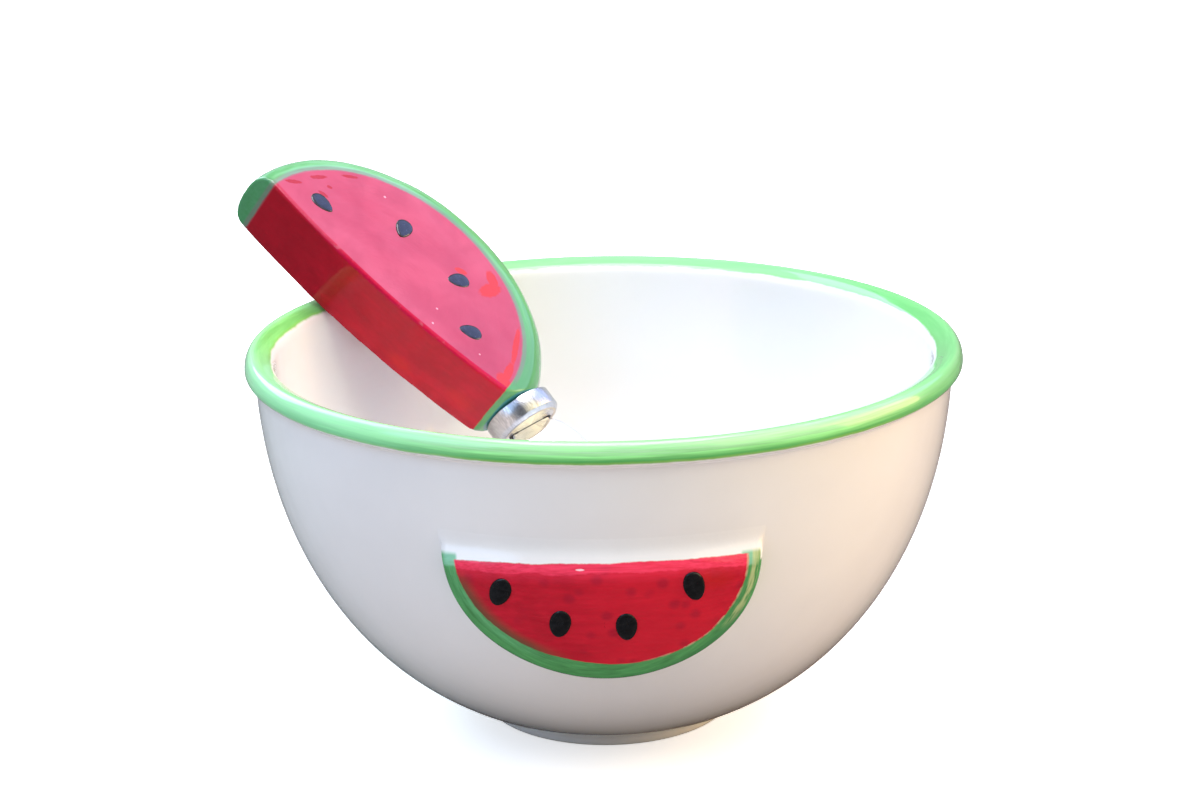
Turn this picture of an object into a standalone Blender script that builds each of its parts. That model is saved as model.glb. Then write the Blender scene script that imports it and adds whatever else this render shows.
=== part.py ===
"""Ceramic dip bowl with a raised melon slice on its front, and the matching spreader resting in it.

The spreader has a slice-shaped ceramic handle, a steel ferrule and a steel blade. The bowl stands
on its foot ring with its front to -Y. Sizes below are in millimetres; the model is in metres, +Z up.
"""

import math

import bmesh
import bpy
from mathutils import Euler, Matrix, Vector

MM = 0.001
GAP = 0.3  # between pieces that touch
WELD = 0.001  # points nearer than this are one
SHARP = 35  # edges that turn more than this many degrees stay sharp

# Bowl
RIM_HEIGHT = 76.0
WALL_RADIUS = 68.1  # outside of the wall, under the rim bead
WALL_DROP = 78.1  # from the rim down to where the wall's curve would meet the axis
WALL_POWER = 2.175
INNER_RADIUS = 64.3
FLOOR_HEIGHT = 6.6
INNER_POWER = 2.3
BEAD_RADIUS = 70.0
BEAD_HEIGHT = 5.1
BEAD_WIDEST = 3.0  # below the rim's top
CREST_RADIUS = 68.3
LIP_INSIDE = 65.2
LIP_INSIDE_DROP = 1.2
FOOT_RADIUS = 25.2
FOOT_HEIGHT = 2.2
FOOT_WIDTH = 3.8
FOOT_EDGE = 0.6  # rounding beside the flat of the foot
RECESS_DEPTH = 1.6
BOWL_SEGMENTS = 88
WALL_STEPS = 11
FLOOR_STEPS = 12

# Raised slice on the front wall, in the wall's front view: x across, z up
RELIEF_CENTRE = -0.8
RELIEF_HALF_WIDTH = 27.7
RELIEF_TOP = 54.6
RELIEF_BOTTOM = 29.3
RELIEF_SKEW = 0.055  # how far the slice's belly leans towards +X for each mm below its top
RELIEF_LIFT = 3.2
RELIEF_ROOT = 1.5  # how far it goes into the wall
RELIEF_ARC_POINTS = 34
RELIEF_TOP_POINTS = 14
# Each: inward from the sides, down from the top, share of the lift
RELIEF_EDGE = ((0.0, 0.0, 0.0), (0.3, 0.9, 0.5), (0.9, 1.9, 0.86), (1.9, 3.2, 1.0))
RELIEF_FACE_RINGS = (0.72, 0.42, 0.16)
SEED_LENGTH = 5.2
SEED_WIDTH = 3.7
SEED_LIFT = 0.5
SEED_POINTS = 14
# Each: x, z and lean in degrees
BOWL_SEEDS = ((-17.8, 48.6, -18), (-7.9, 42.9, -6), (3.2, 42.3, 4), (14.5, 49.7, 14))

# Slice handle, in its own frame: X to the blade, Y to the rind, Z out of the top face
CHORD = 63.4
FLESH_DEPTH = 29.3
THICKNESS = 14.5
RIND_NEAR = 7.0  # at the neck
RIND_FAR = 4.4
RIND_POWER = 2.6
CUT_BULGE_TOP = 2.5  # how far the cut side bows out at the top face
CUT_BULGE_BOTTOM = 2.9
CUT_EDGE = 0.4
HANDLE_ARC_POINTS = 40
HANDLE_CUT_POINTS = 12
HANDLE_LEVELS = (1.0, 0.96, 0.84, 0.6, 0.3, 0.0)
HANDLE_CORNER = (-20.05, 15.8, 60.65)  # cut side, top face and neck meet here
HANDLE_ROLL = 16.8
HANDLE_PITCH = 40.1
HANDLE_HEADING = -15.7
# Each: distance from the neck end, distance from the cut side, lean in degrees
HANDLE_SEEDS = ((54.2, 5.6, 89), (39.1, 16.9, 18), (23.3, 16.1, -36), (13.7, 6.3, -53))

# Neck, ferrule and blade, along the spreader's axis
NECK_PLACE = (3.6, 6.3)
AXIS_TURN = -18.0  # from the handle's X, in the slice's plane
NECK_RADIUS = 7.3
NECK_FLARE = 2.2
NECK_LENGTH = 10.0
STUB_RADIUS = 6.2
STUB_LENGTH = 3.2
FERRULE_RADIUS = 7.55
FERRULE_BORE = 6.5
FERRULE_LENGTH = 4.8
FERRULE_END = 1.2
FERRULE_CHAMFER = 0.8
SHAFT_SEGMENTS = 48
BLADE_TWIST = 21.0
BLADE_LENGTH = 60.7
BLADE_THICKNESS = 1.3
BLADE_WIDTH = 20.0
TANG_WIDTH = 9.2
TANG_DEPTH = 12.0
SHOULDER_START = 0.4  # past the ferrule's face
SHOULDER_BEND = (2.4, 7.7)  # handles of the shoulder's curve: distance past the face, half width
SHOULDER_EASE = (8.5, 9.3)
SHOULDER_END = 20.0
BLADE_STEPS = 12


def clear_scene():
    for old in list(bpy.data.objects):
        bpy.data.objects.remove(old)


def smooth(mesh):
    mesh.shade_smooth()
    mesh.set_sharp_from_angle(angle=math.radians(SHARP))


def material(name, color, roughness, metallic=0.0, coat=0.0):
    made = bpy.data.materials.new(name)
    made.use_nodes = True
    shader = made.node_tree.nodes["Principled BSDF"]
    shader.inputs["Base Color"].default_value = (*color, 1.0)
    shader.inputs["Roughness"].default_value = roughness
    shader.inputs["Metallic"].default_value = metallic
    shader.inputs["Coat Weight"].default_value = coat
    return made


def solid(name, shape, surface=None):
    """Object from a bmesh in millimetres, with its faces turned outwards."""
    bmesh.ops.recalc_face_normals(shape, faces=shape.faces)
    bmesh.ops.scale(shape, vec=(MM, MM, MM), verts=shape.verts)
    mesh = bpy.data.meshes.new(name)
    shape.to_mesh(mesh)
    shape.free()
    smooth(mesh)
    if surface:
        mesh.materials.append(surface)
    made = bpy.data.objects.new(name, mesh)
    bpy.context.scene.collection.objects.link(made)
    return made


def combine(target, others, operation):
    """One Boolean of the target with all the others, applied; the others are removed."""
    group = bpy.data.collections.new("operands")
    for other in others:
        group.objects.link(other)
    modifier = target.modifiers.new("combine", "BOOLEAN")
    modifier.operand_type = "COLLECTION"
    modifier.collection = group
    modifier.operation = operation
    modifier.solver = "EXACT"
    graph = bpy.context.evaluated_depsgraph_get()
    result = bpy.data.meshes.new_from_object(target.evaluated_get(graph))
    target.modifiers.clear()
    target.data = result
    smooth(result)
    for other in others:
        bpy.data.objects.remove(other)
    bpy.data.collections.remove(group)


def skin(shape, rings, close_first, close_last):
    """Faces between rings of points; an end closes with one face, or with a fan to a given point."""
    made = [[shape.verts.new(point) for point in ring] for ring in rings]
    count = len(made[0])
    for low, high in zip(made, made[1:]):
        for here in range(count):
            after = (here + 1) % count
            shape.faces.new((low[here], low[after], high[after], high[here]))
    for ring, close in ((made[0], close_first), (made[-1], close_last)):
        if close == "face":
            shape.faces.new(ring)
            continue
        centre = shape.verts.new(close)
        for here in range(count):
            shape.faces.new((ring[here], ring[(here + 1) % count], centre))


def revolved(profile, segments):
    """Closed body from (radius, height) pairs that start and end on the axis."""
    shape = bmesh.new()
    points = [shape.verts.new((0.0, -radius, height)) for radius, height in profile]
    lines = [shape.edges.new(pair) for pair in zip(points, points[1:])]
    bmesh.ops.spin(shape, geom=points + lines, axis=(0, 0, 1), steps=segments, angle=math.tau)
    bmesh.ops.remove_doubles(shape, verts=shape.verts, dist=WELD)
    return shape


def bezier(start, first, second, end, steps):
    """Points of a cubic curve, its start left out."""
    points = []
    for step in range(1, steps + 1):
        t = step / steps
        weights = ((1 - t) ** 3, 3 * t * (1 - t) ** 2, 3 * t * t * (1 - t), t**3)
        points.append(
            tuple(
                sum(weight * point[axis] for weight, point in zip(weights, (start, first, second, end)))
                for axis in range(2)
            )
        )
    return points


def curve_radius(height, radius, drop, power):
    """Radius at a height of a wall whose section is a superellipse hung from the rim."""
    fall = (RIM_HEIGHT - height) / drop
    return radius * (1 - fall**power) ** (1 / power)


def outer_radius(height):
    return curve_radius(height, WALL_RADIUS, WALL_DROP, WALL_POWER)


def wall_points(radius, drop, power, low, high, steps):
    """(radius, height) pairs up a wall, spread evenly by angle."""
    start = math.acos(((RIM_HEIGHT - low) / drop) ** (power / 2))
    end = math.acos(((RIM_HEIGHT - high) / drop) ** (power / 2))
    points = []
    for step in range(steps + 1):
        angle = start + (end - start) * step / steps
        across = radius * math.sin(angle) ** (2 / power)
        points.append((across, RIM_HEIGHT - drop * math.cos(angle) ** (2 / power)))
    return points


def lip_points(outside, inside):
    """Rim bead from the outside wall over the crest to the inside wall."""
    widest = (BEAD_RADIUS, RIM_HEIGHT - BEAD_WIDEST)
    crest = (CREST_RADIUS, RIM_HEIGHT)
    edge = (LIP_INSIDE, RIM_HEIGHT - LIP_INSIDE_DROP)
    under = bezier(outside, (outside[0] + 0.1, outside[1] + 0.9), (widest[0], widest[1] - 1.2), widest, 4)
    over = bezier(widest, (widest[0], widest[1] + 1.6), (crest[0] + 1.0, crest[1]), crest, 4)
    top = bezier(crest, (crest[0] - 1.1, crest[1]), (edge[0] + 0.9, edge[1] + 0.5), edge, 3)
    turn = bezier(edge, (edge[0] - 0.6, edge[1] - 0.4), (inside[0], inside[1] + 1.3), inside, 3)
    return under + over + top + turn


def bowl_profile():
    inner_foot = FOOT_RADIUS - FOOT_WIDTH
    foot = [
        (0.0, RECESS_DEPTH),
        (inner_foot - FOOT_EDGE, RECESS_DEPTH),
        (inner_foot, FOOT_EDGE),
        (inner_foot + FOOT_EDGE, 0.0),
        (FOOT_RADIUS - FOOT_EDGE, 0.0),
        (FOOT_RADIUS, FOOT_EDGE),
    ]
    wall_top = RIM_HEIGHT - BEAD_HEIGHT
    outside = wall_points(WALL_RADIUS, WALL_DROP, WALL_POWER, FOOT_HEIGHT, wall_top, WALL_STEPS)
    inner_drop = RIM_HEIGHT - FLOOR_HEIGHT
    inside_top = RIM_HEIGHT - LIP_INSIDE_DROP - 2.4
    inside = wall_points(INNER_RADIUS, inner_drop, INNER_POWER, FLOOR_HEIGHT, inside_top, FLOOR_STEPS)
    inside.reverse()
    return foot + outside + lip_points(outside[-1], inside[0]) + inside[1:]


def on_wall(across, height, lift):
    """Point lifted straight off the outside wall, seen from the front at (across, height)."""
    radius = outer_radius(height)
    slope = (outer_radius(height + 0.1) - outer_radius(height - 0.1)) / 0.2
    base = Vector((across, -math.sqrt(radius**2 - across**2), height))
    outwards = Vector((base.x / radius, base.y / radius, -slope)).normalized()
    return base + outwards * lift


def relief_ring(side, down, share=1.0):
    """Outline of the raised slice, moved in from its sides and top and shrunk to its middle."""
    half_width = RELIEF_HALF_WIDTH - side
    top = RELIEF_TOP - down
    depth = top - RELIEF_BOTTOM - side
    middle = top - depth * 0.42
    places = []
    for step in range(RELIEF_ARC_POINTS + 1):
        angle = math.pi * step / RELIEF_ARC_POINTS
        places.append((-half_width * math.cos(angle), top - depth * math.sin(angle)))
    for step in range(1, RELIEF_TOP_POINTS):
        places.append((half_width * (1 - 2 * step / RELIEF_TOP_POINTS), top))
    ring = []
    for across, height in places:
        height = middle + (height - middle) * share
        lean = RELIEF_SKEW * (RELIEF_TOP - height)
        ring.append((RELIEF_CENTRE + across * share + lean, height))
    return ring, (RELIEF_CENTRE + RELIEF_SKEW * (RELIEF_TOP - middle), middle)


def relief():
    """Slice body that follows the wall, from below its surface to the full lift."""
    rings = []
    for share in RELIEF_FACE_RINGS[::-1]:
        ring, _ = relief_ring(0.0, 0.0, share)
        rings.append([on_wall(x, z, -RELIEF_ROOT) for x, z in ring])
    outline, back = relief_ring(0.0, 0.0)
    rings.append([on_wall(x, z, -RELIEF_ROOT) for x, z in outline])
    for side, down, lift in RELIEF_EDGE:
        ring, _ = relief_ring(side, down)
        rings.append([on_wall(x, z, lift * RELIEF_LIFT) for x, z in ring])
    side, down, _ = RELIEF_EDGE[-1]
    for share in RELIEF_FACE_RINGS:
        ring, front = relief_ring(side, down, share)
        rings.append([on_wall(x, z, RELIEF_LIFT) for x, z in ring])
    shape = bmesh.new()
    skin(shape, rings, on_wall(*back, -RELIEF_ROOT), on_wall(*front, RELIEF_LIFT))
    return shape


def seed_ring(x, y, lean, share):
    """Pip outline about (x, y), blunt at one end; lean turns it from upright, in degrees."""
    turn = math.radians(lean)
    ring = []
    for step in range(SEED_POINTS):
        angle = math.tau * step / SEED_POINTS
        across = SEED_WIDTH / 2 * math.cos(angle) * (1 - 0.18 * math.sin(angle)) * share
        along = SEED_LENGTH / 2 * math.sin(angle) * share
        ring.append(
            (
                x + across * math.cos(turn) - along * math.sin(turn),
                y + across * math.sin(turn) + along * math.cos(turn),
            )
        )
    return ring


def seed(x, y, lean, base, place):
    """Low domed pip whose foot is sunk under base; place(x, y, lift) gives each point."""
    rings = []
    for share, lift in ((1.0, -0.6), (1.0, 0.15), (0.75, 0.42), (0.35, SEED_LIFT)):
        rings.append([place(u, v, base + lift) for u, v in seed_ring(x, y, lean, share)])
    shape = bmesh.new()
    skin(shape, rings, place(x, y, base - 0.6), place(x, y, base + SEED_LIFT))
    return shape


def bowl(glaze):
    made = solid("bowl", revolved(bowl_profile(), BOWL_SEGMENTS), glaze)
    raised = [solid("relief", relief(), glaze)]
    for x, z, lean in BOWL_SEEDS:
        raised.append(solid("seed", seed(x, z, lean, RELIEF_LIFT, on_wall), glaze))
    combine(raised[0], raised[1:], "UNION")
    combine(made, raised[:1], "UNION")
    return made


def handle_level(level):
    """Outline of the slice at a level from -1, its underside, to 1, its top face."""
    roundness = (1 - abs(level) ** RIND_POWER) ** (1 / RIND_POWER)
    bulge = CUT_BULGE_BOTTOM + (CUT_BULGE_TOP - CUT_BULGE_BOTTOM) * (level + 1) / 2
    edge = CUT_EDGE if abs(level) == 1 else 0.0
    half = CHORD / 2
    height = (level - 1) * THICKNESS / 2
    ring = []
    for step in range(HANDLE_ARC_POINTS + 1):
        angle = math.pi * step / HANDLE_ARC_POINTS
        out = roundness * (RIND_NEAR + (RIND_FAR - RIND_NEAR) * (angle / math.pi) ** 2)
        x = -half + (half + out - edge) * math.cos(angle)
        y = (FLESH_DEPTH + out) * math.sin(angle)
        ring.append((x, max(y, edge), height))
    for step in range(1, HANDLE_CUT_POINTS):
        share = step / HANDLE_CUT_POINTS
        x = ring[HANDLE_ARC_POINTS][0] * (1 - share) + ring[0][0] * share
        ring.append((x, edge - bulge * 4 * share * (1 - share), height))
    return ring


def handle_frame():
    turn = Euler([math.radians(angle) for angle in (HANDLE_ROLL, HANDLE_PITCH, HANDLE_HEADING)])
    return Matrix.Translation(Vector(HANDLE_CORNER)) @ turn.to_matrix().to_4x4()


def shaft_frame():
    """Handle frame to spreader axis: X along the blade from the neck's end, Z near the top face."""
    turn = Matrix.Rotation(math.radians(AXIS_TURN), 4, "Z")
    return Matrix.Translation(Vector((*NECK_PLACE, -THICKNESS / 2))) @ turn


def turned(profile, segments):
    """Closed body of revolution about X from (distance, radius) pairs that start and end on the axis."""
    shape = revolved([(radius, along) for along, radius in profile], segments)
    bmesh.ops.rotate(shape, verts=shape.verts, cent=(0, 0, 0), matrix=Matrix.Rotation(math.pi / 2, 3, "Y"))
    return shape


def block(low, high):
    shape = bmesh.new()
    size = [top - bottom for bottom, top in zip(low, high)]
    bmesh.ops.create_cube(shape, size=1.0)
    bmesh.ops.scale(shape, vec=size, verts=shape.verts)
    bmesh.ops.translate(shape, vec=[(top + bottom) / 2 for bottom, top in zip(low, high)], verts=shape.verts)
    return shape


def trumpet():
    """What the slice keeps near its neck: a flare that narrows to the neck's end."""
    profile = [(0.0, 0.0), (0.0, NECK_RADIUS)]
    for back in (0.3, 1.0, 2.2, 4.0, 7.0, NECK_LENGTH):
        profile.append((-back, NECK_RADIUS + NECK_FLARE * math.sqrt(back)))
    reach = 2 * CHORD
    profile += [(-2.5 * NECK_LENGTH, reach), (-reach, reach), (-reach, 0.0)]
    return turned(profile, SHAFT_SEGMENTS)


def tang_slot():
    """Cutter for the tang, GAP wider than it all round."""
    side = TANG_WIDTH / 2 + GAP
    thick = BLADE_THICKNESS / 2 + GAP
    shape = block((-TANG_DEPTH - GAP, -side, -thick), (2 * FERRULE_LENGTH, side, thick))
    twist = Matrix.Rotation(math.radians(BLADE_TWIST), 3, "X")
    bmesh.ops.rotate(shape, verts=shape.verts, cent=(0, 0, 0), matrix=twist)
    return shape


def placed(shape, matrix):
    bmesh.ops.transform(shape, matrix=matrix, verts=shape.verts)
    return shape


def handle(glaze):
    to_handle = handle_frame()
    to_shaft = to_handle @ shaft_frame()
    levels = HANDLE_LEVELS + tuple(-level for level in HANDLE_LEVELS[-2::-1])
    shape = bmesh.new()
    skin(shape, [handle_level(level) for level in levels], "face", "face")
    made = solid("handle", placed(shape, to_handle), glaze)
    combine(made, [solid("flare", placed(trumpet(), to_shaft))], "INTERSECT")
    stub_profile = [(-4.0, 0.0), (-4.0, STUB_RADIUS), (STUB_LENGTH, STUB_RADIUS), (STUB_LENGTH, 0.0)]
    added = [solid("stub", placed(turned(stub_profile, SHAFT_SEGMENTS), to_shaft))]
    for along, across, lean in HANDLE_SEEDS:
        top = seed(-along, across, lean, 0.0, lambda x, y, lift: (x, y, lift))
        under = seed(-along, across, lean, 0.0, lambda x, y, lift: (x, y, -THICKNESS - lift))
        added.append(solid("seed", placed(top, to_handle)))
        added.append(solid("seed", placed(under, to_handle)))
    combine(made, added, "UNION")
    combine(made, [solid("socket", placed(tang_slot(), to_shaft))], "DIFFERENCE")
    made.data.materials.clear()
    made.data.materials.append(glaze)
    return made


def ferrule(steel):
    """Cup pressed over the neck's stub, slotted at its closed end for the tang."""
    to_shaft = handle_frame() @ shaft_frame()
    end = GAP + FERRULE_LENGTH
    profile = [
        (end - FERRULE_END, 0.0),
        (end - FERRULE_END, FERRULE_BORE),
        (GAP, FERRULE_BORE),
        (GAP, FERRULE_RADIUS),
        (end - FERRULE_CHAMFER, FERRULE_RADIUS),
        (end, FERRULE_RADIUS - FERRULE_CHAMFER),
        (end, 0.0),
    ]
    made = solid("ferrule", placed(turned(profile, SHAFT_SEGMENTS), to_shaft), steel)
    combine(made, [solid("slot", placed(tang_slot(), to_shaft))], "DIFFERENCE")
    return made


def blade_outline():
    """Half of the blade's outline as (distance, half width) pairs, from the tang's root to the tip."""
    neck = GAP + FERRULE_LENGTH
    half = BLADE_WIDTH / 2
    tang = TANG_WIDTH / 2
    points = [(-TANG_DEPTH, tang), (neck + SHOULDER_START, tang)]
    bend = (neck + SHOULDER_BEND[0], SHOULDER_BEND[1])
    ease = (neck + SHOULDER_EASE[0], SHOULDER_EASE[1])
    points += bezier(points[-1], bend, ease, (neck + SHOULDER_END, half), 8)
    tip_centre = neck + BLADE_LENGTH - half
    for step in range(BLADE_STEPS):
        angle = math.pi / 2 * step / BLADE_STEPS
        points.append((tip_centre + half * math.sin(angle), half * math.cos(angle)))
    return points, neck + BLADE_LENGTH


def blade(steel):
    outline, tip = blade_outline()
    ring = outline + [(tip, 0.0)] + [(x, -y) for x, y in reversed(outline)]
    shape = bmesh.new()
    faces = [[(x, y, side * BLADE_THICKNESS / 2) for x, y in ring] for side in (1, -1)]
    skin(shape, faces, "face", "face")
    twist = Matrix.Rotation(math.radians(BLADE_TWIST), 4, "X")
    return solid("blade", placed(shape, handle_frame() @ shaft_frame() @ twist), steel)


def centre_on_origin(pieces):
    """Move everything so that the middle of the whole's box is over the origin."""
    low = Vector((math.inf, math.inf))
    high = -low
    for piece in pieces:
        for vertex in piece.data.vertices:
            for axis in range(2):
                low[axis] = min(low[axis], vertex.co[axis])
                high[axis] = max(high[axis], vertex.co[axis])
    shift = (low + high) / -2
    for piece in pieces:
        piece.data.transform(Matrix.Translation((*shift, 0.0)))


def main():
    clear_scene()
    white = material("white_glaze", (0.9, 0.88, 0.86), 0.12, coat=0.5)
    red = material("red_glaze", (0.72, 0.06, 0.12), 0.15, coat=0.5)
    steel = material("polished_steel", (0.75, 0.75, 0.76), 0.14, metallic=1.0)
    pieces = [bowl(white), handle(red), ferrule(steel), blade(steel)]
    centre_on_origin(pieces)


main()
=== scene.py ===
"""Glazed dip bowl with a melon slice raised on its front, and the slice-handled spreader that rests in it.

Lengths in the operators are metres, and those in the materials are millimetres. Places on the bowl are
measured from its axis and its foot.
"""

import math
from functools import reduce

import bmesh
import bpy
from mathutils import Euler, Matrix, Vector


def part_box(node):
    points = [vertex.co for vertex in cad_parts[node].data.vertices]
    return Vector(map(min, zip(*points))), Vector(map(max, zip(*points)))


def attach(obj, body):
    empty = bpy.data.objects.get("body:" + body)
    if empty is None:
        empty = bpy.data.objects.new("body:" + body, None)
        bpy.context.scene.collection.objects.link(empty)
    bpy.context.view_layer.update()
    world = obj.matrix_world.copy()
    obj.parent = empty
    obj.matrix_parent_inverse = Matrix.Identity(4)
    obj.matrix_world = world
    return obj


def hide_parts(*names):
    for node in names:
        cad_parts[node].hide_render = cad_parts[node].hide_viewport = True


bl_info = {
    "name": "Melon dip bowl and spreader",
    "version": (1, 0, 0),
    "blender": (4, 5, 0),
    "location": "3D View > Sidebar > Dip Bowl",
    "description": "Builds a glazed dip bowl with a raised melon slice, its spreader and a plain studio",
    "category": "Add Mesh",
}

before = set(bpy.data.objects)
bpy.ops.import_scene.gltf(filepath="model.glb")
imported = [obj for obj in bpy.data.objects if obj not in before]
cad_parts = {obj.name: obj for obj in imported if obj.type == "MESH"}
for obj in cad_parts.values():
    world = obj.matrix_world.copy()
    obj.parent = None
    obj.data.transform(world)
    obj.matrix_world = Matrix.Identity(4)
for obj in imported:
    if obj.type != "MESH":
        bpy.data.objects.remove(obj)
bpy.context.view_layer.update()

MM = 0.001
WELD = 0.001 * MM
BOWL_LOW, BOWL_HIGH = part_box("bowl")
BOWL_X = (BOWL_LOW.x + BOWL_HIGH.x) / 2
BOWL_FRAME = Matrix.Translation((BOWL_X, 0, 0))
# Stands in for the glue between ferrule and handle.
GLUE_GAP = 0.3 * MM

# The raised slice, ring by ring from the wall to its face, in mm: how far in from the sides, how far
# down from the top edge, and the lift off the wall. Negative steps run out over the wall as a fillet.
SLICE_RISE = (
    (-1.3, -4.2, -0.15),
    (-1.0, -3.4, -0.01),
    (-0.75, -2.7, 0.05),
    (-0.5, -2.05, 0.13),
    (-0.28, -1.5, 0.28),
    (-0.12, -1.0, 0.5),
    (0.0, -0.6, 0.8),
    (0.12, -0.25, 1.15),
    (0.25, 0.1, 1.5),
    (0.42, 0.5, 1.9),
    (0.65, 0.95, 2.3),
    (0.95, 1.45, 2.65),
    (1.3, 2.0, 2.9),
    (1.75, 2.7, 3.08),
    (2.3, 3.4, 3.17),
    (3.0, 4.1, 3.2),
)
# Seeds on the raised slice: across from the axis, height and lean in degrees.
BOWL_SEEDS = ((-17.8, 48.7, -24), (-7.9, 42.9, -12), (3.2, 42.3, 3), (14.5, 49.7, 16))
# Seeds on each face of the handle: along from the neck, in from the cut side and lean in degrees.
HANDLE_SEEDS = ((54.2, 5.6, 89), (39.1, 16.9, 18), (23.3, 16.1, -36), (13.7, 6.3, -53))
# A seed's dome, as the share of its outline and the lift off its face in mm.
SEED_DOME = (
    (0.9, -0.6),
    (1.04, -0.1),
    (1.0, 0.08),
    (0.96, 0.2),
    (0.9, 0.29),
    (0.82, 0.36),
    (0.72, 0.42),
    (0.61, 0.46),
    (0.5, 0.49),
    (0.4, 0.5),
    (0.3, 0.51),
    (0.2, 0.52),
    (0.1, 0.52),
)
# Dabs of paint on the handle's faces, in its own frame: centre, half size and turn.
THICK_RED_DABS = (
    ((-61.4, 4.6), (2.2, 0.6), 0.9),
    ((-59.0, 11.0), (2.5, 0.6), 1.05),
    ((-54.9, 17.9), (2.3, 0.5), 0.85),
    ((-55.9, 11.0), (0.8, 0.5), 0.4),
    ((-55.5, 7.9), (1.4, 0.6), 0.2),
)
WARM_DABS = (
    ((-18.5, 23.6), (3.0, 1.5), -0.65),
    ((-17.2, 20.6), (3.7, 1.9), 1.29),
    ((-24.4, 18.9), (1.7, 0.9), 0.5),
    ((-4.9, 12.4), (6.6, 0.8), -1.15),
    ((-2.2, 4.8), (3.6, 1.1), -1.3),
    ((-1.6, 1.7), (2.6, 1.8), -0.6),
)
PALE_SPECKS = (
    ((-46.9, 20.5), (0.35, 0.3), 0.0),
    ((-21.9, 4.7), (0.3, 0.25), 0.0),
    ((-20.3, 0.5), (0.3, 0.3), 0.0),
    ((-9.0, 3.0), (0.25, 0.2), 0.0),
)
# Soft square lights, all turned to the bowl: place, power in watts and tint.
LIGHTS = (
    ("Overhead cloth", (0.0, 0.0, 1.5), 25.0, (0.93, 0.90, 1.0)),
    ("Back left window", (-0.8, 0.9, 0.9), 13.5, (0.70, 0.95, 1.0)),
    ("Front left window", (-1.0, -0.7, 1.0), 10.4, (0.42, 0.65, 1.0)),
    ("Back right window", (1.0, 0.62, 0.98), 6.5, (0.36, 0.48, 1.0)),
    ("Front right window", (1.0, -0.7, 1.0), 6.5, (1.0, 0.86, 0.5)),
    ("Low sun", (1.5, 0.1, 0.5), 16.0, (1.0, 0.63, 0.27)),
)
# The camera stands in front of the bowl and looks down on it by about 17 degrees.
CAMERA_PLACE = (BOWL_X, -0.46667, 0.20286)
CAMERA_RIGHT = (0.99988975, -0.00264086, -0.01461177)
CAMERA_UP = (0.01475483, 0.28707137, 0.95779555)
CAMERA_BACK = (0.00166522, -0.95790556, 0.28707869)


def length(name, millimetres, description):
    return bpy.props.FloatProperty(
        name=name, description=description, default=millimetres * MM, unit="LENGTH", precision=5
    )


def angle(name, degrees, description):
    return bpy.props.FloatProperty(
        name=name, description=description, default=math.radians(degrees), unit="ROTATION", subtype="ANGLE"
    )


def amount(name, value, description):
    return bpy.props.FloatProperty(name=name, description=description, default=value, precision=3)


def colour(name, value, description):
    return bpy.props.FloatVectorProperty(
        name=name, description=description, default=value, size=3, subtype="COLOR", min=0.0, max=1.0
    )


class DIPBOWL_PG_bowl(bpy.types.PropertyGroup):
    """Sizes of the bowl and of the slice raised on it"""

    rim_height: length("Rim height", 76.0, "From the table to the top of the rim")
    wall_radius: length("Wall radius", 68.1, "Outside of the wall, just under the rim bead")
    wall_drop: length("Wall drop", 78.1, "From the rim down to where the outside curve meets the axis")
    wall_power: amount("Wall fullness", 2.175, "Exponent of the outside curve; 2 is an ellipse")
    inner_radius: length("Inner radius", 64.3, "Inside of the wall, just under the rim bead")
    floor_height: length("Floor height", 6.6, "Thickness of the bowl at its middle")
    inner_power: amount("Inner fullness", 2.3, "Exponent of the inside curve")
    bead_radius: length("Bead radius", 70.0, "Widest part of the rim bead")
    bead_height: length("Bead height", 5.1, "From the rim's top to where the bead leaves the wall")
    bead_widest: length("Bead belly", 3.0, "From the rim's top to the widest part of the bead")
    crest_radius: length("Crest radius", 68.3, "Highest line of the rim")
    lip_radius: length("Lip radius", 65.2, "Where the rim turns down to the inside")
    lip_drop: length("Lip drop", 1.2, "From the rim's top to the lip's inner edge")
    foot_radius: length("Foot radius", 25.2, "Outside of the foot ring")
    foot_height: length("Foot height", 2.2, "Height of the foot ring")
    foot_width: length("Foot width", 3.8, "Width of the foot ring's flat")
    recess_depth: length("Foot recess", 1.6, "How far the underside is hollowed")
    slice_middle: length("Slice middle", -0.8, "Middle of the raised slice's top edge, across from the axis")
    slice_half_width: length("Slice half width", 27.7, "Half the length of the raised slice's top edge")
    slice_top: length("Slice top", 54.6, "Height of the raised slice's top edge")
    slice_bottom: length("Slice bottom", 29.3, "Height of the lowest point of the raised slice")
    slice_lean: amount("Slice lean", 0.055, "How far the left side drifts to the right for each unit down")


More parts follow.
